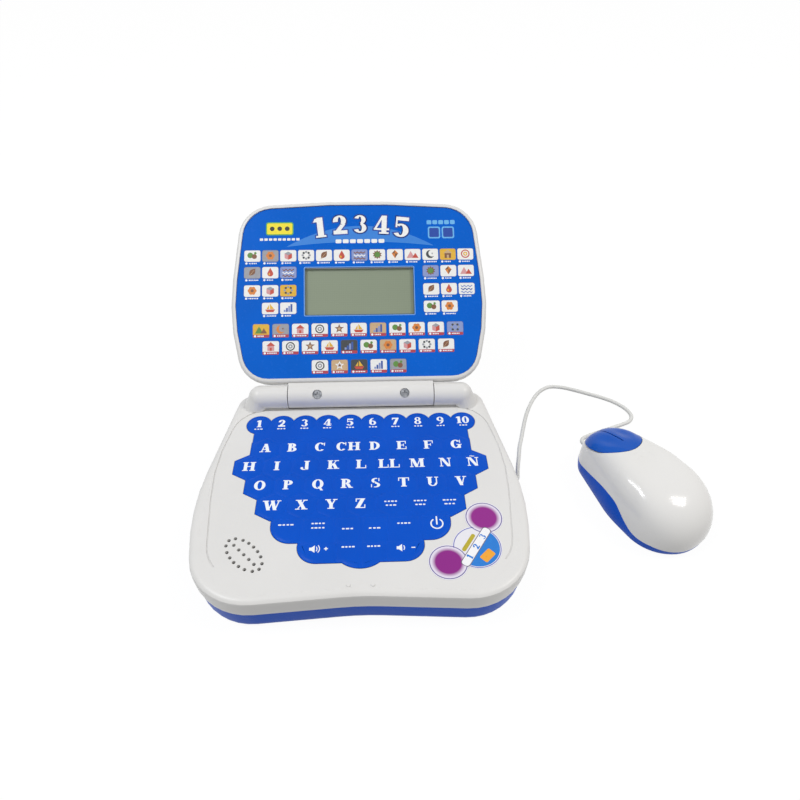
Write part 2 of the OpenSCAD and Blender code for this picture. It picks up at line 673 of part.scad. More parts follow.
module keypad_sheet(z, t, grow) { translate([0, 0, z]) linear_extrude(t) keypad_outline(grow); }
module keypad_circuit() {
    color("#d9c9a8") {
        keypad_sheet(pocket_floor, sheet_t, 0);
        translate([-tail_w / 2, tail_y, board_z + board_t + 0.8])
            cube([tail_w, 0.3, pocket_floor - board_z - board_t - 0.7]);
    }
}
module keypad_spacer() {
    color("#f3f3ee") difference() {
        keypad_sheet(pocket_floor + sheet_t, sheet_t, 0);
        for (p = key_spots) translate([p.x, p.y, pocket_floor]) cylinder(d = 8, h = 2, $fn = 24);
    }
}
module keypad_overlay() {
    z0 = pocket_floor + 2 * sheet_t;
    pad_z = deck_z + key_rise;
    color(blue) {
        keypad_sheet(z0, deck_z + 0.1 - z0, 0);
        translate([0, 0, z0]) linear_extrude(pad_z - z0) {
            for (p = number_spots) translate(p) circle(r = lobe_r - 1.3);
            for (p = letter_spots) translate(p) rotate(30) circle(r = cell_r - 1.25, $fn = 6);
            intersection() {
                keypad_outline(-0.9);
                union() {
                    bar_pads(wide_edges, wide_y - 8.4, wide_y + 7);
                    bar_pads(low_edges, low_y - 12, low_y + 5);
                }
            }
        }
    }
}
module bar_pads(edges, y0, y1) {
    for (i = [1 : len(edges) - 1]) translate([edges[i - 1] + seam, y0])
        square([edges[i] - edges[i - 1] - 2 * seam, y1 - y0]);
}
module deck_sticker() {
    color("#7b1f86") translate([0, 0, deck_z]) linear_extrude(0.2) {
        translate([base_w / 2 - 46.2, front_y + 21.5]) circle(r = 10.2);
        translate([base_w / 2 - 24.8, front_y + 48.2]) circle(r = 10.2);
        translate([base_w / 2 - 30.6, front_y + 29.9]) circle(r = 12.8);
    }
}
module lid_cable_lower() {
    run = [[-29.4, -19, 17.8], [-33, -16, 17.8], [-37, -7, 15], [-40, 8, 13.5], [-42, 34, 13.5],
           [-45, 50, 15],
           [-cable_x + 1, hinge_y - 6, 18], [-cable_x, hinge_y, 22.5], [-cable_x, hinge_y, 26.5],
           [-cable_x + 0.4, hinge_y, hinge_z - 1.6], [-cable_x + 2.6, hinge_y, hinge_z],
           [-side_in + 2, hinge_y, hinge_z], [-side_in + pin_len - 0.2, hinge_y, hinge_z]];
    color("#8a8d93") tube(smooth(run, 2), cable_d / 2, 6);
}
module cord_bush() {
    color(white) cord_axis() difference() {
        union() {
            cylinder(d = bush_flange_d, h = bush_flange_t);
            translate([0, 0, -wall - 1]) cylinder(d = bush_d, h = wall + 2);
        }
        translate([0, 0, -wall - 2]) cylinder(d = cord_d - 0.6, h = wall + 5);
    }
}

// =====================================================================================
// Lid, drawn with the hinge axis at y = 0, z = 0 and its face towards +Z
// =====================================================================================
module window_cut(z0, z1, flare) {
    hull() {
        translate([-window_w / 2, window_v - window_h / 2, z0]) cube([window_w, window_h, eps]);
        translate([-window_w / 2 - flare, window_v - window_h / 2 - flare, z1])
            cube([window_w + 2 * flare, window_h + 2 * flare, eps]);
    }
}
module lid_front_shell() {
    bezel = 1.2;
    gw = window_w + 2 * glass_lap;
    gh = window_h + 2 * glass_lap;
    color(white) on_lid() difference() {
        union() {
            difference() {
                skin([ring(lid_line, 0, 0), ring(lid_line, 0, lid_front_t - 2),
                      ring(lid_line, 0.45, lid_front_t - 0.9), ring(lid_line, 1, lid_front_t - 0.3),
                      ring(lid_line, 1.8, lid_front_t)]);
                skin([ring(lid_line, lid_wall, -1), ring(lid_line, lid_wall, glass_z - 0.6),
                      ring(lid_line, lid_wall + 0.8, glass_z)]);
            }
            for (p = lid_screw_spots) translate([p.x, p.y, lid_boss_z])
                cylinder(d = boss_d, h = glass_z - lid_boss_z + 0.5);
            for (p = display_posts) translate([p.x, p.y, display_board_z + display_board_t])
                cylinder(d = 5, h = glass_z - display_board_z - display_board_t + 0.5);
            translate([-gw / 2 - bezel, window_v - gh / 2 - bezel, glass_z - glass_t]) difference() {
                cube([gw + 2 * bezel, gh + 2 * bezel, glass_t + 0.5]);
                translate([bezel - 0.2, bezel - 0.2, -1]) cube([gw + 0.4, gh + 0.4, glass_t + 1]);
            }
        }
        translate([0, 0, plate_z]) linear_extrude(lid_front_t) polygon(inset(lid_line, rim_w - 0.2));
        window_cut(glass_z - 1, plate_z + eps, 0.6);
        for (p = lid_screw_spots) translate([p.x, p.y, lid_boss_z - 1])
            cylinder(d = screw_d + 2 * screw_fit, h = glass_z - lid_boss_z + 1);
        for (p = display_posts) translate([p.x, p.y, display_board_z])
            cylinder(d = board_screw_d + 2 * screw_fit, h = glass_z - display_board_z);
    }
}
module lid_film() {
    color(blue) on_lid() translate([0, 0, plate_z]) linear_extrude(film_t) difference() {
        polygon(inset(lid_line, rim_w));
        translate([-window_w / 2 - 0.8, window_v - window_h / 2 - 0.8])
            square([window_w + 1.6, window_h + 1.6]);
    }
}
module half_barrel(front) {
    intersection() {
        translate([-knuckle_x, 0, 0]) rotate([0, 90, 0]) cylinder(r = barrel_r, h = knuckle_w);
        translate([-knuckle_x, -barrel_r - 1, front ? 0 : -barrel_r - 1])
            cube([knuckle_w, 2 * barrel_r + 2, barrel_r + 1]);
    }
}
module pin_bores() {
    for (s = [-1, 1]) translate([s * (knuckle_x - pin_len), 0, 0]) rotate([0, s * 90, 0])
        cylinder(r = pin_d / 2 + pin_fit, h = pin_len + 1);
}
hinge_screw_x = 27;
hinge_seat_z = barrel_r - 3;
module lid_back_shell() {
    color(white) on_lid() difference() {
        union() {
            difference() {
                skin([ring(lid_line, 8.6, -lid_back_t), ring(lid_line, 5.8, -lid_back_t + 0.25),
                      ring(lid_line, 3.4, -lid_back_t + 1), ring(lid_line, 1.6, -lid_back_t + 2.4),
                      ring(lid_line, 0.5, -lid_back_t + 4.6), ring(lid_line, 0, 0)]);
                skin([ring(lid_line, 6.8, -lid_back_t + lid_wall),
                      ring(lid_line, 3.4 + 0.6, -lid_back_t + lid_wall + 1.2),
                      ring(lid_line, lid_wall + 0.5, -lid_back_t + 5.2), ring(lid_line, lid_wall, 1)]);
            }
            for (p = lid_screw_spots) translate([p.x, p.y, -lid_back_t + 1])
                cylinder(d = post_d, h = lid_back_t - 1 + lid_boss_z);
            half_barrel(false);
            translate([-knuckle_x, 0, -barrel_r + 1]) cube([knuckle_w, lid_foot + 1, barrel_r - 1]);
        }
        for (p = lid_screw_spots) translate([p.x, p.y, -lid_back_t - 1]) {
            cylinder(d = screw_head_d + 0.6, h = lid_back_t + 1 + lid_seat_z);
            cylinder(d = screw_d + 0.4, h = lid_back_t + 2);
        }
        pin_bores();
        for (s = [-1, 1]) translate([s * hinge_screw_x, 0, -5.5])
            cylinder(d = screw_d + 2 * screw_fit, h = 6);
        translate([-knuckle_x + pin_len - 1, -cable_bore / 2, -cable_d - 1.4])
            cube([6, 2 * cable_bore, 2 * cable_d]);
        translate([-knuckle_x + pin_len + 3.2, 0, -1.9]) rotate([-90, 0, 0])
            cylinder(d = cable_bore, h = lid_foot + 3);
    }
}
module hinge_cover() {
    lip = lid_front_t - 0.4;
    leave_v = 0.7 * barrel_r;
    color(white) on_lid() difference() {
        union() {
            half_barrel(true);
            translate([-knuckle_x, 0, 0]) rotate([90, 0, 90]) linear_extrude(knuckle_w)
                polygon([[0, 0], [lid_foot, 0], [lid_foot, lip],
                         [leave_v, sqrt(barrel_r * barrel_r - leave_v * leave_v)]]);
        }
        pin_bores();
        for (s = [-1, 1]) translate([s * hinge_screw_x, 0, 0]) {
            translate([0, 0, hinge_seat_z]) cylinder(d = screw_head_d + 0.5, h = 6);
            translate([0, 0, -1]) cylinder(d = screw_d + 0.4, h = 8);
        }
        translate([-knuckle_x + pin_len - 1, 0, 0]) rotate([0, 90, 0]) cylinder(d = cable_bore, h = 6);
    }
}
module hinge_screws() {
    color(silver) on_lid() for (s = [-1, 1]) translate([s * hinge_screw_x, 0, hinge_seat_z])
        rotate([180, 0, 0]) screw(screw_head_d, screw_head_h, screw_d, hinge_seat_z + 5);
}
module lid_screws() {
    color(silver) on_lid() for (p = lid_screw_spots) translate([p.x, p.y, lid_seat_z])
        screw(screw_head_d, screw_head_h, screw_d, lid_screw_len);
}
module display_glass() {
    gw = window_w + 2 * glass_lap;
    gh = window_h + 2 * glass_lap;
    color("#87957c") on_lid() translate([-gw / 2, window_v - gh / 2, glass_z - glass_t])
        cube([gw, gh, glass_t]);
}
strip_v = window_h / 2 + glass_lap - 1.6;
module display_strips() {
    color("#d88fa0") on_lid() for (s = [-1, 1])
        translate([-window_w / 2, window_v + s * strip_v - 1, display_board_z + display_board_t])
            cube([window_w, 2, glass_z - glass_t - display_board_z - display_board_t]);
}
module display_board() {
    color(board_green) on_lid() difference() {
        translate([-display_board_w / 2, window_v - display_board_h / 2, display_board_z])
            cube([display_board_w, display_board_h, display_board_t]);
        for (p = display_posts) translate([p.x, p.y, display_board_z - 1])
            cylinder(d = board_screw_d + 0.4, h = display_board_t + 2);
    }
}
module display_board_chip() {
    color("#22252a") on_lid() translate([12, window_v, display_board_z]) mirror([0, 0, 1])
        cap_of_resin(6, 1.6);
}
module display_board_screws() {
    color(silver) on_lid() for (p = display_posts) translate([p.x, p.y, display_board_z])
        screw(3.8, 1.3, board_screw_d, 5);
}
module lid_cable_upper() {
    x0 = -knuckle_x + pin_len;
    run = [[x0 + 0.3, 0, -0.2], [x0 + 2.2, 0.4, -1.2], [x0 + 3.2, 3, -1.9],
           [x0 + 3.2, lid_foot + 4, -1.9], [x0 + 2, 22, -3], [x0 - 1, 34, -4.4],
           [x0 - 1, window_v - display_board_h / 2 - 0.3, -3.9]];
    color("#8a8d93") on_lid() tube(smooth(run, 2), cable_d / 2, 6);
}

// =====================================================================================
// Mouse, drawn with its nose towards +Y
// =====================================================================================
function nose_share(p) = pow(max(0, min(1, (p.y - mouse_peak_y) / (mouse_nose - mouse_peak_y))), 1.5);
// The domed back of the mouse, sunk by d below its skin, at share s of the way out.
function dome(d, s) = let (peak = [0, mouse_peak_y])
    [for (q = mouse_line) let (p = q[0] - d * q[1], f = nose_share(q[0]), e = 4 - 1.5 * f,
                               k = 0.47 - 0.25 * f, xy = peak + (p - peak) * s)
        [xy.x, xy.y, mouse_belt + (mouse_h - d - mouse_belt) * pow(1 - pow(s, e), k)]];
dome_steps = [0.99, 0.965, 0.925, 0.87, 0.79, 0.69, 0.57, 0.43, 0.27, 0.08];
module mouse_solid(d) {
    skin(concat([ring(mouse_line, 3.4 + d, mouse_floor + d),
                 ring(mouse_line, 2 + d, mouse_floor + 0.7 + d),
                 ring(mouse_line, 0.8 + d, mouse_floor + 2.4 + d), ring(mouse_line, d, mouse_belt)],
                [for (s = dome_steps) dome(d, s)]));
}
// The wavy seam between the blue bottom and the white top, seen from the side.
wave = [for (y = [-52 : 2 : 52])
    [y, 7.5 + 10 * exp(-pow(y / (y > 0 ? 30 : 13), 2)) - 0.2 * max(0, -y - 30)]];
module below_seam(z0) {
    translate([-40, 0, 0]) rotate([90, 0, 90]) linear_extrude(80)
        polygon(concat([[-52, z0]], wave, [[52, z0]]));
}
// The region of the buttons: in front of an arc, and above a face that is level behind the
// hinge line and falls to the nose in front of it.
module button_zone(grow, drop) {
    low = button_low_z - drop;
    intersection() {
        translate([0, button_rear_y + button_arc, 0]) linear_extrude(60) {
            circle(r = button_arc + grow);
            translate([-button_arc - grow, 0]) square([2 * (button_arc + grow), 40]);
        }
        translate([-30, 0, 0]) rotate([90, 0, 90]) linear_extrude(60)
            polygon([[0, low], [button_hinge_y, low],
                     [button_hinge_y + 40, low - 40 * tan(button_slope)],
                     [button_hinge_y + 40, 60], [0, 60]]);
    }
}
module mouse_bore(z) { translate([0, mouse_nose + 2, z]) rotate([90, 0, 0]) children(); }

module mouse_top_shell() {
    color(white) at_mouse() difference() {
        union() {
            difference() {
                mouse_solid(0);
                mouse_solid(mouse_wall);
            }
            intersection() {
                mouse_solid(0.5);
                for (p = mouse_screw_spots)
                    translate([p.x, p.y, mouse_split_z + (p.y > 0 ? bridge_t : 0)])
                        cylinder(d = 6, h = 30);
            }
        }
        below_seam(-5);
        button_zone(0, button_travel);
        for (p = mouse_screw_spots) translate([p.x, p.y, 5])
            cylinder(d = screw_d + 2 * screw_fit, h = mouse_split_z + 3);
        mouse_bore(mouse_bush_z) cylinder(d = bush_d + 0.1, h = 8);
    }
}
module mouse_bottom_shell() {
    color(blue) at_mouse() difference() {
        union() {
            intersection() {
                difference() {
                    mouse_solid(0);
                    mouse_solid(mouse_wall);
                }
                below_seam(-5);
            }
            for (p = mouse_screw_spots) translate([p.x, p.y, mouse_floor + 1])
                cylinder(d = mouse_post_d, h = mouse_split_z - mouse_floor - 1);
            for (x = [-9, 9], y = [20, 32]) translate([x, y, mouse_floor + 1])
                cylinder(d = 3, h = mouse_board_z - mouse_floor - 1);
            for (x = [-15, 15], y = [-30, 18]) translate([x, y, 0]) cylinder(d = 6, h = 1.5);
        }
        for (p = mouse_screw_spots) translate([p.x, p.y, 0]) {
            translate([0, 0, -1]) cylinder(d = screw_head_d + 0.4, h = 4.5);
            cylinder(d = screw_d + 0.4, h = 20);
        }
        mouse_bore(mouse_bush_z) cylinder(d = bush_d + 0.1, h = 8);
    }
}
module button_moulding() {
    difference() {
        intersection() {
            mouse_solid(0);
            button_zone(-button_gap, 0);
        }
        mouse_solid(mouse_wall);
    }
}
module mouse_button_bridge() {
    color(blue) at_mouse() {
        intersection() {
            button_moulding();
            translate([-30, 0, 0]) cube([60, button_hinge_y - button_gap, 40]);
        }
        difference() {
            union() {
                translate([-5, 1.5, flange_z]) cube([10, 17.5, bridge_t]);
                intersection() {
                    mouse_solid(mouse_wall - 0.5);
                    translate([-5, 17.4, flange_z]) cube([10, bridge_t, 24]);
                }
            }
            translate([0, mouse_screw_spots[1].y, 0]) cylinder(d = screw_d + 0.4, h = 20);
        }
    }
}
module half_button(s) {
    color(blue) at_mouse() {
        intersection() {
            button_moulding();
            translate([s > 0 ? slit_w / 2 : -30, button_hinge_y, 0]) cube([30 - slit_w / 2, 30, 40]);
        }
        intersection() {
            mouse_solid(mouse_wall - 0.4);
            translate([s * 6, 34, switch_z + 0.6]) cylinder(d = 3, h = 24);
        }
    }
}
module mouse_button_left() { half_button(-1); }
module mouse_button_right() { half_button(1); }
module mouse_board() {
    color(board_green) at_mouse() translate([-11, 17.5, mouse_board_z]) cube([22, 18, 1.2]);
}
module mouse_switches() {
    color("#2a2a2d") at_mouse() for (s = [-1, 1]) translate([s * 6, 32, mouse_board_z + 1.2]) {
        translate([-3, -3, 0]) cube([6, 6, 3.6]);
        translate([0, 2, 0]) cylinder(d = 3, h = switch_z - mouse_board_z - 1.2);
    }
}
module mouse_screws() {
    color(silver) at_mouse() for (p = mouse_screw_spots) translate([p.x, p.y, 3.5])
        screw(screw_head_d - 0.4, 1.6, screw_d, 13);
}
module mouse_cord_bush() {
    color(white) at_mouse() mouse_bore(mouse_bush_z) translate([0, 0, 2]) difference() {
        union() {
            translate([0, 0, -bush_flange_t]) cylinder(d = bush_flange_d - 1, h = bush_flange_t);
            cylinder(d = bush_d, h = 3.5);
        }
        translate([0, 0, -3]) cylinder(d = cord_d - 0.6, h = 10);
    }
}
module mouse_cord() {
    color(white) tube(cord_path, cord_d / 2, 8);
}

base_bottom_shell();
base_top_shell();
base_screws();
battery_door();
battery_door_screws();
battery_cells();
battery_contacts();
main_board();
main_board_parts();
main_board_screws();
wire_harness();
speaker_frame();
speaker_cone();
speaker_magnet();
keypad_overlay();
keypad_spacer();
keypad_circuit();
deck_sticker();
lid_cable_lower();
cord_bush();
lid_back_shell();
lid_front_shell();
lid_film();
lid_screws();
hinge_cover();
hinge_screws();
display_glass();
display_strips();
display_board();
display_board_chip();
display_board_screws();
lid_cable_upper();
mouse_top_shell();
mouse_bottom_shell();
mouse_button_bridge();
mouse_button_left();
mouse_button_right();
mouse_board();
mouse_switches();
mouse_screws();
mouse_cord_bush();
mouse_cord();
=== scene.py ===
"""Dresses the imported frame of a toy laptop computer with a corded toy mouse.

The classes hold their sizes in millimetres, in the frame of the CAD: the origin is
the middle of the laptop's underside, with +Y towards the hinge and +Z up. A mesh gets
its metres when it is made.
"""
import logging
import math
from dataclasses import dataclass, field
from enum import Enum
from typing import Any, Callable, Iterable, Optional, Sequence

import bmesh
import bpy
from mathutils import Matrix, Vector


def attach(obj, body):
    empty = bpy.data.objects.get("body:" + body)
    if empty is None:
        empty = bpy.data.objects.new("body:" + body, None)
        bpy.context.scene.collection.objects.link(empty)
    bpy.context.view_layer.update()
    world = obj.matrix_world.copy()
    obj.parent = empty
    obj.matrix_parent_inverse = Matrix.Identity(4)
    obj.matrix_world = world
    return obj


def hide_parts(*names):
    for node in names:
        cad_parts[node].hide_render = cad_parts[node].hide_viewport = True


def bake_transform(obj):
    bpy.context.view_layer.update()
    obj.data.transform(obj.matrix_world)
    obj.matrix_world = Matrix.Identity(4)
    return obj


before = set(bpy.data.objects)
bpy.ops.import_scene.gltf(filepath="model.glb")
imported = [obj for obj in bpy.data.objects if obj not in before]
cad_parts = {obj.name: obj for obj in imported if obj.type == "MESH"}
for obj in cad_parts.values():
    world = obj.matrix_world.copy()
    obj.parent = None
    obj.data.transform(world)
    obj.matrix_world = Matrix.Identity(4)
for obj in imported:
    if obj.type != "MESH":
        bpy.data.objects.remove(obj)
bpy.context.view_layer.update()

LOG = logging.getLogger("toy_laptop")
MM = 0.001
# How far ink stands above its surface, in millimetres.
PRINT_MM = 0.03
# Points of a CAD mesh that are nearer than this, in metres, are merged.
WELD_M = 3e-6
# The upright part of a level face's normal, and the area in square metres of an empty one.
LEVEL_NORMAL = 0.9999
EMPTY_M2 = 1e-12
Loop = list[tuple[float, float]]


# ---- colours and nodes ----------------------------------------------------------------
def linear(code: str) -> tuple[float, float, float, float]:
    """Turns an sRGB hex colour into a linear one.

    Args:
        code: The colour as "#rrggbb".

    Returns:
        Red, green, blue and alpha for a node socket.
    """
    parts = [int(code[i:i + 2], 16) / 255 for i in (1, 3, 5)]
    line = [c / 12.92 if c <= 0.04045 else ((c + 0.055) / 1.055) ** 2.4 for c in parts]
    return (line[0], line[1], line[2], 1.0)


def feed(tree: bpy.types.NodeTree, node: bpy.types.Node, sockets: Optional[dict[Any, Any]] = None,
         links: Optional[dict[Any, Any]] = None) -> None:
    """Sets some of a node's inputs.

    Args:
        tree: The node's tree.
        node: The node.
        sockets: Input name or number, and its plain value.
        links: Input name or number, and the output socket that feeds it.
    """
    for key, value in (sockets or {}).items():
        node.inputs[key].default_value = value
    for key, source in (links or {}).items():
        tree.links.new(source, node.inputs[key])


def add_node(tree: bpy.types.NodeTree, kind: str, settings: Optional[dict[str, Any]] = None,
             sockets: Optional[dict[Any, Any]] = None,
             links: Optional[dict[Any, Any]] = None) -> bpy.types.Node:
    """Adds one node with its settings, plain inputs and links.

    Args:
        tree: The node tree that gets the node.
        kind: The node's type.
        settings: Attributes of the node.
        sockets: As feed takes them.
        links: As feed takes them.

    Returns:
        The new node.
    """
    node = tree.nodes.new(kind)
    for key, value in (settings or {}).items():
        setattr(node, key, value)
    feed(tree, node, sockets, links)
    return node


@dataclass
class Surface:
    """A material that is being wired: its tree, its Principled node and its coordinates."""
    tree: bpy.types.NodeTree
    body: bpy.types.Node
    place: bpy.types.NodeSocket

    def spread(self, grain_mm: float, detail: float) -> bpy.types.NodeSocket:
        """A noise whose grains are grain_mm across.

        Args:
            grain_mm: Size of a grain in millimetres.
            detail: Octaves of the noise.

        Returns:
            The noise's value, from 0 to 1.
        """
        return add_node(self.tree, "ShaderNodeTexNoise",
                        sockets={"Scale": 1 / (grain_mm * MM), "Detail": detail},
                        links={"Vector": self.place}).outputs["Fac"]

    def blend(self, share: bpy.types.NodeSocket, low: str, high: str, start: float = 0.35,
              stop: float = 0.65) -> bpy.types.NodeSocket:
        """Runs from one colour to another as share rises from start to stop.

        Args:
            share: What drives the change.
            low: Hex colour at and below start.
            high: Hex colour at and above stop.
            start: Where the change begins.
            stop: Where the change ends.

        Returns:
            The colour.
        """
        ramp = add_node(self.tree, "ShaderNodeValToRGB", links={"Fac": share})
        for element, at, code in zip(ramp.color_ramp.elements, (start, stop), (low, high)):
            element.position, element.color = at, linear(code)
        return ramp.outputs["Color"]

    def vary(self, share: bpy.types.NodeSocket, low: float, high: float) -> bpy.types.NodeSocket:
        """Maps a value from 0..1 to low..high."""
        return add_node(self.tree, "ShaderNodeMapRange", sockets={"To Min": low, "To Max": high},
                        links={"Value": share}).outputs["Result"]

    def wire(self, sockets: dict[Any, Any], links: dict[Any, Any]) -> None:
        """Sets and links inputs of the Principled node."""
        feed(self.tree, self.body, sockets, links)

    def relief(self, height: bpy.types.NodeSocket, depth_mm: float) -> None:
        """Gives the shader a bump of depth_mm from height."""
        bump = add_node(self.tree, "ShaderNodeBump",
                        sockets={"Strength": 1.0, "Distance": depth_mm * MM},
                        links={"Height": height})
        self.wire({}, {"Normal": bump.outputs["Normal"]})


# ---- finishes -------------------------------------------------------------------------
@dataclass(frozen=True)
class Finish:
    """A finish with its main colour, and a second one for its flow, grain, cloud or rim."""
    name: str
    colour: str
    shade: str

    def paint(self, surface: Surface) -> None:
        """Wires the material, in each kind of finish's own way."""
        raise NotImplementedError

    def material(self) -> bpy.types.Material:
        """Builds the material."""
        material = bpy.data.materials.new(self.name)
        material.use_nodes = True
        tree = material.node_tree
        tree.nodes.clear()
        body = add_node(tree, "ShaderNodeBsdfPrincipled")
        add_node(tree, "ShaderNodeOutputMaterial", links={"Surface": body.outputs["BSDF"]})
        self.paint(Surface(tree, body, add_node(tree, "ShaderNodeTexCoord").outputs["Object"]))
        return material


@dataclass(frozen=True)
class MouldedAbs(Finish):
    """Injection-moulded ABS: an even colour with a soft gloss and faint flow marks."""
    roughness: float = 0.34
    specular: float = 0.5
    sink_mm: float = 55.0
    handled_mm: float = 14.0
    grain_mm: float = 1.1
    grain_depth_mm: float = 0.004

    def paint(self, surface: Surface) -> None:
        """Wires a broad drift of colour and a mould's fine polish marks."""
        handled = surface.spread(self.handled_mm, 4)
        surface.wire({"IOR": 1.53, "Specular IOR Level": self.specular}, {
            "Base Color": surface.blend(surface.spread(self.sink_mm, 3), self.shade, self.colour),
            "Roughness": surface.vary(handled, self.roughness - 0.05, self.roughness + 0.07)})
        surface.relief(surface.spread(self.grain_mm, 3), self.grain_depth_mm)


@dataclass(frozen=True)
class PrintedFilm(Finish):
    """Polyester film printed on its back: the colour lies under a thin clear layer."""
    roughness: float = 0.3
    coat: float = 0.25
    specular: float = 0.5
    ink_mm: float = 26.0
    dust_mm: float = 3.0
    ripple_mm: float = 9.0
    ripple_depth_mm: float = 0.012

    def paint(self, surface: Surface) -> None:
        """Wires ink with a slight unevenness under a clear coat."""
        dust = surface.spread(self.dust_mm, 3)
        surface.wire({"IOR": 1.57, "Specular IOR Level": self.specular,
                      "Coat Weight": self.coat, "Coat Roughness": 0.12}, {
            "Base Color": surface.blend(surface.spread(self.ink_mm, 3), self.shade, self.colour),
            "Roughness": surface.vary(dust, self.roughness - 0.04, self.roughness + 0.05)})
        surface.relief(surface.spread(self.ripple_mm, 2), self.ripple_depth_mm)


@dataclass(frozen=True)
class Ink(Finish):
    """Screen-printed ink: flat and even, a little duller than the film under it."""
    roughness: float = 0.42
    grain_mm: float = 1.4

    def paint(self, surface: Surface) -> None:
        """Wires ink that thins a little here and there."""
        grain = surface.spread(self.grain_mm, 4)
        surface.wire({"Roughness": self.roughness, "IOR": 1.5},
                     {"Base Color": surface.blend(grain, self.shade, self.colour, 0.25, 0.5)})


@dataclass(frozen=True)
class FadingInk(Finish):
    """A printed disc whose colour fades to white at its rim, as an airbrushed print does."""
    centre: tuple[float, float]
    radius: float
    fade_from: float = 0.72
    fade_to: float = 0.95

    def paint(self, surface: Surface) -> None:
        """Wires a round gradient about the disc's own middle."""
        size = self.radius * MM
        middle = [-c / self.radius for c in self.centre]
        about = add_node(surface.tree, "ShaderNodeMapping", {"vector_type": "POINT"},
                         {"Location": (*middle, 0), "Scale": (1 / size, 1 / size, 0)},
                         {"Vector": surface.place})
        far = add_node(surface.tree, "ShaderNodeVectorMath", {"operation": "LENGTH"},
                       links={0: about.outputs["Vector"]})
        surface.wire({"Roughness": 0.3, "Specular IOR Level": 0.25}, {
            "Base Color": surface.blend(far.outputs["Value"], self.colour, self.shade,
                                        self.fade_from, self.fade_to)})


@dataclass(frozen=True)
class PlatedSteel(Finish):
    """Zinc-plated steel: bright metal with fine turning marks."""
    roughness: float = 0.3
    cloud_mm: float = 2.0

    def paint(self, surface: Surface) -> None:
        """Wires metal whose plating is cloudy in small spots."""
        cloud = surface.spread(self.cloud_mm, 3)
        surface.wire({"Metallic": 1.0}, {
            "Base Color": surface.blend(cloud, self.shade, self.colour),
            "Roughness": surface.vary(cloud, self.roughness + 0.12, self.roughness)})
        surface.relief(surface.spread(0.5, 2), 0.01)


@dataclass(frozen=True)
class LiquidCrystal(Finish):
    """Unlit reflective display glass: grey-green, with the faint lattice of its segments."""
    cell_mm: float = 1.15
    tint_mm: float = 40.0

    def paint(self, surface: Surface) -> None:
        """Wires a polariser's even tint, a faint dot lattice and a glossy face."""
        tint = surface.spread(self.tint_mm, 1)
        base = surface.blend(tint, self.shade, self.colour, 0.3, 0.7)
        lattice = add_node(surface.tree, "ShaderNodeTexBrick", {"offset": 0.0},
                           {"Scale": 1 / (self.cell_mm * MM), "Mortar Size": 0.07,
                            "Brick Width": 1.0, "Row Height": 1.0,
                            "Color1": (1, 1, 1, 1), "Color2": (1, 1, 1, 1),
                            "Mortar": (0.93, 0.93, 0.92, 1)}, {"Vector": surface.place})
        mixed = add_node(surface.tree, "ShaderNodeMix",
                         {"data_type": "RGBA", "blend_type": "MULTIPLY"}, {"Factor": 1.0},
                         {6: base, 7: lattice.outputs["Color"]})
        surface.wire({"Roughness": 0.38, "Coat Weight": 0.15, "Coat Roughness": 0.05},
                     {"Base Color": mixed.outputs[2]})


@dataclass(frozen=True)
class Speckled(Finish):
    """A plain technical surface, such as solder mask, resin, paper or rubber."""
    roughness: float = 0.6
    grain_mm: float = 0.8
    depth_mm: float = 0.02
    metallic: float = 0.0

    def paint(self, surface: Surface) -> None:
        """Wires two close colours in grains, with a bump of the same grain."""
        grain = surface.spread(self.grain_mm, 3)
        surface.wire({"Roughness": self.roughness, "Metallic": self.metallic},
                     {"Base Color": surface.blend(grain, self.shade, self.colour)})
        surface.relief(grain, self.depth_mm)


class Finishes:
    """Every finish of the toy, built once and found by its name."""

    WHITE = MouldedAbs("white_abs", "#e1e0de", "#dddcda", specular=0.35)
    SATIN = MouldedAbs("white_satin_abs", "#e6e5e3", "#e3e2df", roughness=0.15)
    BLUE = MouldedAbs("blue_abs", "#0056ce", "#0053c6", roughness=0.36, specular=0.08)
    CAP = MouldedAbs("blue_cap_abs", "#0054ba", "#0050b4", roughness=0.16, specular=0.2)
    KEYPAD = PrintedFilm("keypad_film", "#0052c8", "#004fc2", 0.33, coat=0.0, specular=0.1)
    LID = PrintedFilm("lid_film_print", "#0063d0", "#0060ca", 0.26, coat=0.0, specular=0.1)
    LEGEND = Ink("legend_ink", "#f2f6fa", "#e4ebf5")
    LABEL = PrintedFilm("sticker_paper", "#e9e8ee", "#e4e3ea", coat=0.4)
    STEEL = PlatedSteel("zinc_plated_steel", "#a6a8ad", "#74777d")
    GLASS = LiquidCrystal("liquid_crystal", "#87927c", "#838e78")
    CORD = MouldedAbs("cord_pvc", "#dfdfdc", "#d9d9d6", roughness=0.45, sink_mm=20,
                      grain_mm=0.9, grain_depth_mm=0.01)
    BOARD = Speckled("solder_mask", "#1f6b3a", "#1b6135", 0.4, 1.5, 0.01)
    CHIP = Speckled("black_resin", "#1c1d20", "#25272b", 0.35, 2.0, 0.02)
    CONE = Speckled("cone_paper", "#242427", "#2d2d30", 0.85, 0.7, 0.05)
    RUBBER = Speckled("zebra_rubber", "#d2949f", "#b87883", 0.7, 0.4, 0.01)
    MEMBRANE = Speckled("membrane_film", "#e3d9c4", "#ddd2bb", 0.55, 3.0, 0.01)
    CABLE = Speckled("cable_pvc", "#8d9096", "#83868c", 0.5, 1.5, 0.02)
    CELL = Speckled("cell_sleeve", "#b5793a", "#a86f33", 0.3, 6.0, 0.01, 0.6)

    def __init__(self) -> None:
        """Starts with no material built."""
        self.built: dict[str, bpy.types.Material] = {}

    def get(self, finish: Finish) -> bpy.types.Material:
        """The material of a finish, built when it is first asked for."""
        if finish.name not in self.built:
            self.built[finish.name] = finish.material()
        return self.built[finish.name]


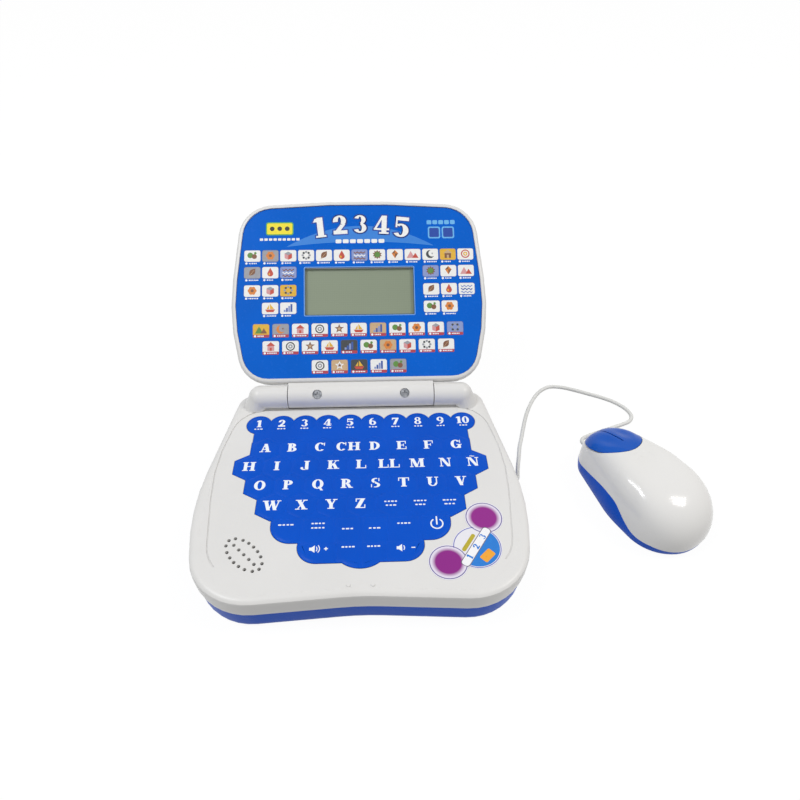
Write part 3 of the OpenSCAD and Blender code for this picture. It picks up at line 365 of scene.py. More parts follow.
# ---- meshes ---------------------------------------------------------------------------
@dataclass
class Stock:
    """Collects flat loops, slabs and skins in millimetres, and makes one piece of them."""
    name: str
    place: Matrix = field(default_factory=lambda: Matrix.Identity(4))
    verts: list[Vector] = field(default_factory=list)
    faces: list[list[int]] = field(default_factory=list)
    slots: list[int] = field(default_factory=list)

    def add(self, verts: Iterable[Sequence[float]], faces: Iterable[Sequence[int]],
            slot: int = 0) -> None:
        """Adds vertices and the faces over them, with one material slot."""
        first = len(self.verts)
        self.verts.extend(Vector(v) for v in verts)
        for f in faces:
            self.faces.append([first + i for i in f])
            self.slots.append(slot)

    def slab(self, loop: Loop, low: float, high: float, slot: int = 0, closed: bool = True) -> None:
        """Adds an anticlockwise loop raised from low to high.

        Args:
            loop: Points of the outline.
            low: Height of its underside.
            high: Height of its top.
            slot: Material slot.
            closed: Whether the underside is made.
        """
        n = len(loop)
        verts = [(x, y, low) for x, y in loop] + [(x, y, high) for x, y in loop]
        faces = [[i, (i + 1) % n, n + (i + 1) % n, n + i] for i in range(n)]
        faces.append([n + i for i in range(n)])
        if closed:
            faces.append(list(range(n - 1, -1, -1)))
        self.add(verts, faces, slot)

    def stamp(self, loop: Loop, level: float, rise: float, slot: int = 0) -> None:
        """Prints an anticlockwise loop: a layer that rises a little above level, open below."""
        self.slab(loop, level, level + rise, slot, closed=False)

    def band(self, outer: Loop, inner: Loop, level: float, slot: int = 0) -> None:
        """Adds the flat band between two loops of equal numbers of points."""
        n = len(outer)
        self.add([(x, y, level) for x, y in outer + inner],
                 [(i, (i + 1) % n, n + (i + 1) % n, n + i) for i in range(n)], slot)

    def skin(self, rings: Sequence[Sequence[Sequence[float]]], foot: bool = True) -> None:
        """Adds a skin over rings of equal numbers of points, anticlockwise from above.

        Args:
            rings: The rings, from the lowest to the highest.
            foot: Whether the lowest ring is filled; the highest one always is.
        """
        n = len(rings[0])
        verts = [p for ring in rings for p in ring]
        faces = []
        for k in range(len(rings) - 1):
            for i in range(n):
                j = (i + 1) % n
                faces.append([k * n + i, k * n + j, (k + 1) * n + j, (k + 1) * n + i])
        if foot:
            faces.append(list(range(n - 1, -1, -1)))
        faces.append([(len(rings) - 1) * n + i for i in range(n)])
        self.add(verts, faces)

    def build(self, materials: Sequence[bpy.types.Material], sharp: Optional[float] = None
              ) -> bpy.types.Object:
        """Makes the piece.

        Args:
            materials: One material for each slot.
            sharp: Angle in degrees above which an edge stays sharp, or None for flat faces.

        Returns:
            The object, at the origin, with its place in its mesh.
        """
        mesh = bpy.data.meshes.new(self.name)
        mesh.from_pydata([(self.place @ v) * MM for v in self.verts], [], self.faces)
        for material in materials:
            mesh.materials.append(material)
        mesh.polygons.foreach_set("material_index", self.slots)
        mesh.update()
        piece = bpy.data.objects.new(self.name, mesh)
        bpy.context.scene.collection.objects.link(piece)
        if sharp is not None:
            soften(piece, sharp)
        return piece


def soften(piece: bpy.types.Object, sharp: float) -> None:
    """Shades a piece smooth, apart from edges sharper than an angle in degrees."""
    piece.data.shade_smooth()
    piece.data.set_sharp_from_angle(angle=math.radians(sharp))


def bake(piece: bpy.types.Object) -> None:
    """Turns a piece's modifiers into its plain mesh."""
    graph = bpy.context.evaluated_depsgraph_get()
    mesh = bpy.data.meshes.new_from_object(piece.evaluated_get(graph),
                                           preserve_all_data_layers=True, depsgraph=graph)
    piece.modifiers.clear()
    piece.data = mesh
    mesh.name = piece.name


def even_out(piece: bpy.types.Object) -> None:
    """Weights a piece's normals by the area of its faces, so that flats stay flat."""
    weight = piece.modifiers.new("weight", "WEIGHTED_NORMAL")
    weight.keep_sharp = True
    weight.weight = 50
    bake(piece)


def remove(piece: bpy.types.Object) -> None:
    """Deletes a helper object."""
    bpy.data.objects.remove(piece, do_unlink=True)


def carve(piece: bpy.types.Object, tool: bpy.types.Object, how: str) -> None:
    """Cuts, joins or crosses a piece with a tool, which is then deleted.

    Args:
        piece: The piece that is changed.
        tool: The closed solid that is used.
        how: DIFFERENCE, UNION or INTERSECT.
    """
    step = piece.modifiers.new("carve", "BOOLEAN")
    step.operation, step.solver, step.object = how, "EXACT", tool
    bake(piece)
    remove(tool)


def fit(piece: bpy.types.Object, body: str, slot: str, *nodes: str) -> bpy.types.Object:
    """Lets a piece ride on a body, and hides the nodes that it stands for."""
    if nodes:
        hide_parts(*nodes)
    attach(piece, body)
    LOG.info("%s rides on %s with %d faces", piece.name, body, len(piece.data.polygons))
    return piece


def welded(node: str) -> bmesh.types.BMesh:
    """A CAD node's mesh, merged, without its stored normals or folded triangles."""
    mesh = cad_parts[node].data.copy()
    for layer in ("custom_normal", "sharp_edge", "sharp_face"):
        if layer in mesh.attributes:
            mesh.attributes.remove(mesh.attributes[layer])
    shape = bmesh.new()
    shape.from_mesh(mesh)
    bpy.data.meshes.remove(mesh)
    bmesh.ops.remove_doubles(shape, verts=shape.verts, dist=WELD_M)
    for f in shape.faces:
        f.material_index = 0
    shape.normal_update()
    unfold(shape)
    return shape


def patches(faces: Sequence[bmesh.types.BMFace]) -> list[list[bmesh.types.BMFace]]:
    """Groups of faces that hang together by their edges."""
    left, groups = set(faces), []
    for first in faces:
        if first not in left:
            continue
        left.remove(first)
        group = [first]
        for f in group:
            for g in (g for e in f.edges for g in e.link_faces):
                if g in left:
                    left.remove(g)
                    group.append(g)
        groups.append(group)
    return groups


def unfold(shape: bmesh.types.BMesh) -> None:
    """Fills anew each flat patch in which thin triangles lie folded onto each other."""
    flat = [f for f in shape.faces if abs(f.normal.z) > LEVEL_NORMAL or
            (f.calc_area() < EMPTY_M2 and len({round(v.co.z, 7) for v in f.verts}) == 1)]
    for patch in patches(flat):
        if all(f.normal.z >= 0 for f in patch) or all(f.normal.z <= 0 for f in patch):
            continue
        up = sum(f.calc_area() * f.normal.z for f in patch) > 0
        inside = set(patch)
        rim = list(dict.fromkeys(e for f in patch for e in f.edges
                                 if any(g not in inside for g in e.link_faces)))
        bmesh.ops.delete(shape, geom=patch, context="FACES_KEEP_BOUNDARY")
        made = bmesh.ops.triangle_fill(shape, use_beauty=True, edges=rim,
                                       normal=(0, 0, 1 if up else -1))
        for f in made["geom"]:
            if isinstance(f, bmesh.types.BMFace) and (f.normal.z > 0) != up:
                f.normal_flip()
    shape.normal_update()


def patch_loop(patch: Sequence[bmesh.types.BMFace]) -> Loop:
    """The longest closed outline of a flat patch in millimetres."""
    inside = set(patch)
    after = {loop.vert: loop.link_loop_next.vert for f in patch for loop in f.loops
             if any(g not in inside for g in loop.edge.link_faces)}
    best: list[bmesh.types.BMVert] = []
    while after:
        at, onward = after.popitem()
        chain = [at]
        while onward in after:
            chain.append(onward)
            onward = after.pop(onward)
        best = max(best, chain, key=len)
    return [(v.co.x / MM, v.co.y / MM) for v in best]


def copy_node(node: str, name: str, finish: bpy.types.Material, sharp: float = 34,
              reshape: Optional[Callable[[bmesh.types.BMesh], None]] = None) -> bpy.types.Object:
    """A merged copy of a moulded CAD node, shaded as the real curved shell is.

    Args:
        node: The CAD node.
        name: The copy's name.
        finish: Its material.
        sharp: Angle in degrees above which an edge stays sharp.
        reshape: What changes the copy's points before it is shaded.

    Returns:
        The copy.
    """
    mesh = bpy.data.meshes.new(name)
    shape = welded(node)
    if reshape:
        reshape(shape)
    shape.to_mesh(mesh)
    shape.free()
    mesh.materials.append(finish)
    piece = bpy.data.objects.new(name, mesh)
    bpy.context.scene.collection.objects.link(piece)
    soften(piece, sharp)
    even_out(piece)
    return piece


# ---- outlines -------------------------------------------------------------------------
def corner_arc(before: Vector, at: Vector, after: Vector, radius: float, steps: int
               ) -> list[tuple[Vector, Vector]]:
    """Points of one rounded corner, each with its outward normal."""
    a, b = (before - at).normalized(), (after - at).normalized()
    half = math.acos(max(-1.0, min(1.0, a.dot(b)))) / 2
    centre = at + (a + b).normalized() * radius / math.sin(half)
    s = at + a * radius / math.tan(half) - centre
    e = at + b * radius / math.tan(half) - centre
    start = math.atan2(s.y, s.x)
    turn = math.atan2(e.y, e.x) - start
    turn = turn - math.tau if turn > math.pi else turn + math.tau if turn < -math.pi else turn
    side = 1 if turn > 0 else -1
    arc = []
    for k in range(steps + 1):
        t = start + turn * k / steps
        d = Vector((math.cos(t), math.sin(t)))
        arc.append((centre + d * radius, d * side))
    return arc


def outline(corners: Sequence[tuple[float, float, float]], steps: int
            ) -> list[tuple[Vector, Vector]]:
    """A closed outline from corners given anticlockwise as (x, y, radius)."""
    points = [Vector((c[0], c[1])) for c in corners]
    line: list[tuple[Vector, Vector]] = []
    for i, corner in enumerate(corners):
        after = points[(i + 1) % len(points)]
        line += corner_arc(points[i - 1], points[i], after, corner[2], steps)
    return line


def mirrored(half: Sequence[tuple[float, float, float]]) -> list[tuple[float, float, float]]:
    """The corners of one half, followed by their mirror images."""
    return list(half) + [(-x, y, r) for x, y, r in reversed(half)]


def round_loop(cx: float, cy: float, rx: float, ry: Optional[float] = None, steps: int = 28,
               turn: float = 0.0) -> Loop:
    """An ellipse as a loop, turned by an angle in degrees."""
    ry = rx if ry is None else ry
    c, s = math.cos(math.radians(turn)), math.sin(math.radians(turn))
    loop = []
    for k in range(steps):
        a = math.tau * k / steps
        x, y = rx * math.cos(a), ry * math.sin(a)
        loop.append((cx + x * c - y * s, cy + x * s + y * c))
    return loop


def round_box(cx: float, cy: float, width: float, height: float, radius: float,
              steps: int = 5) -> Loop:
    """A rectangle with rounded corners as a loop."""
    w, h = width / 2, height / 2
    return [(p.x, p.y) for p, _ in outline([(cx + w, cy - h, radius), (cx + w, cy + h, radius),
                                            (cx - w, cy + h, radius), (cx - w, cy - h, radius)],
                                           steps)]


def shifted(loop: Loop, dx: float, dy: float, size: float = 1.0, turn: float = 0.0) -> Loop:
    """A loop scaled, turned by an angle in degrees, and then moved."""
    c, s = math.cos(math.radians(turn)) * size, math.sin(math.radians(turn)) * size
    return [(dx + x * c - y * s, dy + x * s + y * c) for x, y in loop]


# ---- letters --------------------------------------------------------------------------
class FatFace:
    """A fat serif alphabet drawn from stems, hairlines and bowls, one unit high.

    STROKES holds each sign's strokes in the order in which they are drawn. A stroke is the
    name of a method and its numbers.
    """

    THICK = 0.29
    THIN = 0.09
    GAP = 0.04
    STROKES = {
        "A": "slant 0.62 0.36 0.29, slant 0.12 0.42 0.1, bar 0.24 0.26 0.7 0.35, "
             "bar 0 0 0.34 0.09, bar 0.5 0 1.02 0.09",
        "B": "stem 0.1, bowl 0.4 0.75 0.36 0.25 -90 90, bowl 0.42 0.27 0.42 0.27 -90 90",
        "C": "bowl 0.48 0.5 0.46 0.52 38 318, bar 0.82 0.62 0.9 1",
        "D": "stem 0.1, bowl 0.36 0.5 0.58 0.5 -90 90",
        "E": "stem 0.1, bar 0.3 0.91 0.86 1, bar 0.78 0.66 0.86 1, bar 0.3 0.46 0.66 0.54, "
             "bar 0.6 0.34 0.67 0.66, bar 0.3 0 0.9 0.09, bar 0.82 0 0.9 0.34",
        "F": "stem 0.1, bar 0.3 0.91 0.86 1, bar 0.78 0.66 0.86 1, bar 0.3 0.46 0.66 0.54, "
             "bar 0.6 0.34 0.67 0.66",
        "G": "bowl 0.48 0.5 0.46 0.52 38 318, bar 0.82 0.62 0.9 1, bar 0.66 0 0.92 0.42, "
             "bar 0.54 0.4 1.02 0.48",
        "H": "stem 0.1, stem 0.72, bar 0.3 0.46 0.8 0.54",
        "I": "stem 0.1",
        "J": "stem 0.4 0 0, bowl 0.35 0.16 0.34 0.2 -180 0 0.2, dot 0.13 0.17 0.12",
        "K": "stem 0.1, slant 0.32 0.76 0.1 0.36, slant 0.66 0.38 0.29 0 0.62, "
             "bar 0.6 0.91 1 1, bar 0.56 0 1.04 0.09",
        "L": "stem 0.1, bar 0.3 0 0.9 0.09, bar 0.82 0 0.9 0.36",
        "M": "stem 0.14 0.1 1 0, stem 0.94, slant 0.5 0.14 0.29, slant 0.56 0.94 0.1, "
             "bar 0 0.91 0.3 1",
        "N": "stem 0.14 0.1 1 0, bar 0 0.91 0.3 1, slant 0.7 0.12 0.29, bar 0.86 0 0.96 1, "
             "bar 0.74 0.91 1.08 1",
        "Ñ": "stem 0.14 0.1 1 0, bar 0 0.91 0.3 1, slant 0.7 0.12 0.29, bar 0.86 0 0.96 1, "
             "bar 0.74 0.91 1.08 1, slant 0.3 0.36 0.22 1.12 1.2, "
             "slant 0.5 0.56 0.22 1.09 1.17",
        "O": "bowl 0.5 0.5 0.48 0.52",
        "P": "stem 0.1, bowl 0.4 0.73 0.42 0.27 -90 90",
        "Q": "bowl 0.5 0.5 0.48 0.52, slant 0.76 0.5 0.22 -0.2 0.2",
        "R": "stem 0.1, bowl 0.4 0.73 0.42 0.27 -90 90, slant 0.68 0.42 0.29 0 0.48, "
             "bar 0.68 0 1.04 0.09",
        "S": "bowl 0.42 0.74 0.36 0.28 60 270 0.24, bowl 0.42 0.25 0.38 0.27 -120 90 0.26, "
             "bar 0.66 0.66 0.74 1, bar 0.02 0 0.1 0.34, slant 0.44 0.14 0.26 0.36 0.64",
        "T": "stem 0.32 0 1 0, bar 0 0.91 0.93 1, bar 0 0.64 0.08 1, bar 0.85 0.64 0.93 1",
        "U": "bar 0.1 0.3 0.39 1, bar 0 0.91 0.5 1, bar 0.78 0.3 0.88 1, bar 0.66 0.91 1 1, "
             "bowl 0.49 0.34 0.39 0.36 180 360 0.2",
        "V": "slant 0.36 0.08 0.29, slant 0.46 0.76 0.1, bar -0.02 0.91 0.48 1, "
             "bar 0.64 0.91 0.98 1",
        "W": "slant 0.36 0.08 0.29, slant 0.46 0.76 0.1, bar -0.02 0.91 0.48 1, "
             "bar 0.64 0.91 0.98 1, slant 0.9 0.62 0.29, slant 1 1.28 0.1, "
             "bar 1.14 0.91 1.5 1",
        "X": "slant 0.6 0.08 0.32, slant 0.12 0.7 0.1, bar 0 0.91 0.5 1, "
             "bar 0.6 0.91 0.98 1, bar 0 0 0.36 0.09, bar 0.5 0 1.02 0.09",
        "Y": "bar 0.34 0 0.63 0.46, bar 0.2 0 0.77 0.09, slant 0.34 0.06 0.29 0.44 1, "
             "slant 0.5 0.76 0.12 0.44 1, bar -0.02 0.91 0.46 1, bar 0.62 0.91 1 1",
        "Z": "bar 0.06 0.91 0.84 1, bar 0.04 0 0.86 0.09, slant 0.04 0.5 0.34, "
             "bar 0.06 0.66 0.14 1, bar 0.78 0 0.86 0.36",
        "0": "bowl 0.38 0.5 0.37 0.52 0 360 0.26",
        "1": "stem 0.2 0 1 0, slant 0.02 0.12 0.24 0.78 0.96",
        "2": "bowl 0.36 0.72 0.34 0.3 -50 190 0.26, slant 0.02 0.4 0.26 0.06 0.52, "
             "bar 0.02 0 0.74 0.2",
        "3": "bowl 0.34 0.75 0.32 0.27 -80 160 0.24, bowl 0.34 0.27 0.36 0.29 -160 80 0.26",
        "4": "bar 0.4 0 0.66 1, slant 0 0.4 0.12 0.24 1, bar 0 0.2 0.8 0.3, "
             "bar 0.28 0 0.78 0.09",
        "5": "bowl 0.34 0.32 0.38 0.34 -150 130 0.27, bar 0.08 0.82 0.7 1, "
             "bar 0.08 0.46 0.16 1",
        "6": "bowl 0.38 0.31 0.36 0.32 0 360 0.24, bowl 0.42 0.5 0.4 0.52 80 190 0.25",
        "7": "bar 0.04 0.82 0.74 1, slant 0.14 0.46 0.28 0 0.86, bar 0.04 0.68 0.12 1",
        "8": "bowl 0.38 0.76 0.31 0.26 0 360 0.2, bowl 0.38 0.27 0.36 0.29 0 360 0.23",
        "9": "bowl 0.38 0.69 0.36 0.32 0 360 0.24, bowl 0.34 0.5 0.4 0.52 -100 10 0.25",
    }
    WIDTHS = {"I": 0.5, "M": 1.34, "W": 1.5, "1": 0.62, "J": 0.8, "S": 0.82, "L": 0.94}
    LETTER_WIDTH = 1.02
    DIGIT_WIDTH = 0.78

    def __init__(self) -> None:
        """Starts an empty glyph."""
        self.loops: list[Loop] = []

    def bar(self, x0: float, y0: float, x1: float, y1: float) -> None:
        """Adds an upright rectangle."""
        self.loops.append([(x0, y0), (x1, y0), (x1, y1), (x0, y1)])

    def slant(self, x0: float, x1: float, width: float, y0: float = 0.0, y1: float = 1.0) -> None:
        """Adds a leaning stroke from (x0, y0) up to (x1, y1), its left corners given."""
        self.loops.append([(x0, y0), (x0 + width, y0), (x1 + width, y1), (x1, y1)])

    def dot(self, x: float, y: float, radius: float) -> None:
        """Adds a round dot."""
        self.loops.append(round_loop(x, y, radius, steps=10))

    def stem(self, x: float, width: float = 0.0, foot: float = 1, head: float = 1) -> None:
        """Adds an upright stem, with a serif at its foot and its head unless these are zero."""
        width = width or self.THICK
        self.bar(x, 0, x + width, 1)
        if foot:
            self.bar(x - 0.1, 0, x + width + 0.1, self.THIN)
        if head:
            self.bar(x - 0.1, 1 - self.THIN, x + width + 0.1, 1)

    def bowl(self, cx: float, cy: float, rx: float, ry: float, start: float = 0, stop: float = 360,
             thick: float = 0.0, thin: float = 0.0) -> None:
        """Adds a part of an oval ring, thick at its sides and thin above and below."""
        tx, ty = thick or self.THICK, thin or self.THIN
        steps = max(4, round((stop - start) / 15))
        for k in range(steps):
            quad = []
            for a, inner in ((k, 0), (k + 1, 0), (k + 1, 1), (k, 1)):
                t = math.radians(start + (stop - start) * a / steps)
                quad.append((cx + (rx - inner * tx) * math.cos(t),
                             cy + (ry - inner * ty) * math.sin(t)))
            self.loops.append(quad)

    def glyph(self, sign: str) -> float:
        """Draws one sign.

        Args:
            sign: A capital letter or a digit.

        Returns:
            The glyph's width.
        """
        for stroke in self.STROKES[sign].split(", "):
            kind, *numbers = stroke.split()
            getattr(self, kind)(*map(float, numbers))
        return self.WIDTHS.get(sign, self.DIGIT_WIDTH if sign.isdigit() else self.LETTER_WIDTH)


def word_loops(word: str, x: float, y: float, high: float, turn: float = 0.0) -> list[Loop]:
    """Sets a word in the fat serif alphabet.

    Args:
        word: The word's signs.
        x: Its middle.
        y: Its middle.
        high: Height of its signs.
        turn: Its slope in degrees.

    Returns:
        The word's strokes.
    """
    loops: list[Loop] = []
    at = 0.0
    for sign in word:
        face = FatFace()
        width = face.glyph(sign)
        loops += [shifted(loop, at, -0.5) for loop in face.loops]
        at += width + FatFace.GAP
    middle = (at - FatFace.GAP) / 2
    return [shifted(shifted(loop, -middle, 0), x, y, high, turn) for loop in loops]


def face_up(loop: Loop) -> Loop:
    """The loop turned anticlockwise."""
    area = sum(a[0] * b[1] - b[0] * a[1] for a, b in zip(loop, loop[1:] + loop[:1]))
    return loop if area > 0 else loop[::-1]


def print_loops(stock: Stock, loops: Sequence[Loop], level: float, slot: int = 0,
                step: float = 0.002) -> None:
    """Lays loops on a surface as ink, each a hair above the one before it."""
    for k, loop in enumerate(loops):
        stock.stamp(face_up(loop), level, PRINT_MM + step * (k % 9), slot)


# ---- repeats --------------------------------------------------------------------------
def repeat(name: str, shape: bpy.types.Object, spots: Sequence[Sequence[float]],
           finish: bpy.types.Material) -> bpy.types.Object:
    """Puts a copy of a shape on every spot with Geometry Nodes, and bakes the result.

    Args:
        name: The piece's name.
        shape: The shape, drawn about the origin, which is deleted afterwards.
        spots: Places in millimetres.
        finish: The material that the tree sets.

    Returns:
        The piece.
    """
    tree = bpy.data.node_groups.new(name, "GeometryNodeTree")
    made: dict[str, str] = {}
    for label, kind in (("Spots", "Geometry"), ("Shape", "Object"), ("Finish", "Material")):
        made[label] = tree.interface.new_socket(label, in_out="INPUT",
                                                socket_type="NodeSocket" + kind).identifier
    tree.interface.new_socket("Geometry", in_out="OUTPUT", socket_type="NodeSocketGeometry")
    given = add_node(tree, "NodeGroupInput").outputs
    solid = add_node(tree, "GeometryNodeObjectInfo", {"transform_space": "ORIGINAL"},
                     links={"Object": given["Shape"]})
    copies = add_node(tree, "GeometryNodeInstanceOnPoints", links={
        "Points": given["Spots"], "Instance": solid.outputs["Geometry"]})
    real = add_node(tree, "GeometryNodeRealizeInstances",
                    links={"Geometry": copies.outputs["Instances"]})
    dressed = add_node(tree, "GeometryNodeSetMaterial", links={
        "Geometry": real.outputs["Geometry"], "Material": given["Finish"]})
    add_node(tree, "NodeGroupOutput", links={0: dressed.outputs["Geometry"]})
    mesh = bpy.data.meshes.new(name)
    mesh.from_pydata([Vector(s) * MM for s in spots], [], [])
    piece = bpy.data.objects.new(name, mesh)
    bpy.context.scene.collection.objects.link(piece)
    step = piece.modifiers.new("repeat", "NODES")
    step.node_group = tree
    step[made["Shape"]] = shape
    step[made["Finish"]] = finish
    bake(piece)
    remove(shape)
    return piece


def inset_loop(loop: Loop, depth: float) -> Loop:
    """An anticlockwise loop drawn in by depth at every side."""
    shrunk = []
    for i, at in enumerate(loop):
        p, q, r = Vector(loop[i - 1]), Vector(at), Vector(loop[(i + 1) % len(loop)])
        a, b = (q - p).normalized(), (r - q).normalized()
        na, nb = Vector((-a.y, a.x)), Vector((-b.y, b.x))
        joint = (na + nb) / max(0.35, 1 + na.dot(nb))
        shrunk.append((q.x + joint.x * depth, q.y + joint.y * depth))
    return shrunk


def pillow(stock: Stock, loop: Loop, low: float, high: float, soft: float) -> None:
    """Adds a raised pad with a rounded rim.

    Args:
        stock: The stock that gets the pad.
        loop: Its outline, anticlockwise.
        low: Height of its foot.
        high: Height of its top.
        soft: Width of the rounded rim.
    """
    rings = []
    for share in (0, 0.12, 0.3, 0.5, 0.75, 1):
        level = low + (high - low) * math.sin(share * math.pi / 2)
        rings.append([(x, y, level) for x, y in inset_loop(loop, soft * share)])
    stock.skin(rings, foot=False)


# ---- studio ---------------------------------------------------------------------------
def seen_rays(tree: bpy.types.NodeTree) -> bpy.types.NodeSocket:
    """One for a ray from the camera, a mirror or glass, which all show the plain background."""
    ray = add_node(tree, "ShaderNodeLightPath").outputs
    seen = ray["Is Camera Ray"]
    for kind in ("Is Glossy Ray", "Is Transmission Ray"):
        seen = add_node(tree, "ShaderNodeMath", {"operation": "MAXIMUM"},
                        links={0: seen, 1: ray[kind]}).outputs[0]
    return seen


@dataclass(frozen=True)
class Softbox:
    """A square lamp: its place in millimetres, its power in watts and its tint."""
    name: str
    place: tuple[float, float, float]
    power: float
    tint: str


@dataclass
class Studio:
    """The camera, the pale floor and the soft light."""
    eye: tuple[float, float, float] = (8.82, -233.61, 302.77)
    pitch: float = 42.78
    yaw: float = -2.99
    roll: float = 0.95
    lens: float = 28.8
    floor_half: float = 2400.0
    floor_glow: float = 1.11
    floor_share: float = 0.86
    floor_grey: float = 0.42
    fill: float = 0.5
    backdrop: float = 1.0
    aim: tuple[float, float, float] = (60, 20, 30)
    lamp_size: float = 420.0
    lamps: tuple[Softbox, ...] = (
        Softbox("left_softbox", (-760, -60, 1400), 8.7, "#f8fbff"),
        Softbox("right_softbox", (1050, -60, 1400), 8.9, "#fffbf6"))

    def camera(self) -> None:
        """Makes the camera and sets it as the scene's."""
        data = bpy.data.cameras.new("camera")
        data.lens, data.sensor_width = self.lens, 36.0
        data.clip_start, data.clip_end = 0.02, 20.0
        eye = bpy.data.objects.new("camera", data)
        turn = (Matrix.Rotation(math.radians(self.yaw), 4, "Z")
                @ Matrix.Rotation(math.radians(90 - self.pitch), 4, "X")
                @ Matrix.Rotation(math.radians(self.roll), 4, "Z"))
        eye.matrix_world = Matrix.Translation(Vector(self.eye) * MM) @ turn
        bpy.context.scene.collection.objects.link(eye)
        bpy.context.scene.camera = eye

    def floor(self) -> None:
        """Makes the floor: white to the eye, with a faint shadow of the toy."""
        material = bpy.data.materials.new("studio_floor")
        material.use_nodes = True
        tree = material.node_tree
        tree.nodes.clear()
        share = add_node(tree, "ShaderNodeMath", {"operation": "MULTIPLY"},
                         {1: self.floor_share}, {0: seen_rays(tree)})
        paper = add_node(tree, "ShaderNodeBsdfDiffuse",
                         sockets={"Color": (*[self.floor_grey] * 3, 1)})
        glow = add_node(tree, "ShaderNodeEmission",
                        sockets={"Color": (1, 1, 1, 1), "Strength": self.floor_glow})
        mixed = add_node(tree, "ShaderNodeMixShader", links={
            0: share.outputs[0], 1: paper.outputs[0], 2: glow.outputs[0]})
        add_node(tree, "ShaderNodeOutputMaterial", links={"Surface": mixed.outputs[0]})
        stock = Stock("studio_floor")
        h = self.floor_half
        stock.add([(-h, -h, -0.05), (h, -h, -0.05), (h, h, -0.05), (-h, h, -0.05)], [(0, 1, 2, 3)])
        stock.build([material])

    def lamp(self, box: Softbox) -> None:
        """Hangs a softbox that faces the toy."""
        data = bpy.data.lights.new(box.name, "AREA")
        data.shape, data.size, data.energy = "SQUARE", self.lamp_size * MM, box.power
        data.color = linear(box.tint)[:3]
        lamp = bpy.data.objects.new(box.name, data)
        lamp.location = Vector(box.place) * MM
        ahead = Vector(self.aim) * MM - lamp.location
        lamp.rotation_euler = ahead.to_track_quat("-Z", "Y").to_euler()
        bpy.context.scene.collection.objects.link(lamp)

    def light(self) -> None:
        """Hangs the lamps, and sets the world: an even fill with a plain white backdrop."""
        for box in self.lamps:
            self.lamp(box)
        world = bpy.data.worlds.new("studio_world")
        bpy.context.scene.world = world
        world.use_nodes = True
        tree = world.node_tree
        tree.nodes.clear()
        level = add_node(tree, "ShaderNodeMapRange",
                         sockets={"To Min": self.fill, "To Max": self.backdrop},
                         links={"Value": seen_rays(tree)})
        sky = add_node(tree, "ShaderNodeBackground", sockets={"Color": (1, 1, 1, 1)},
                       links={"Strength": level.outputs[0]})
        add_node(tree, "ShaderNodeOutputWorld", links={"Surface": sky.outputs[0]})
        bpy.context.scene.view_settings.view_transform = "Standard"


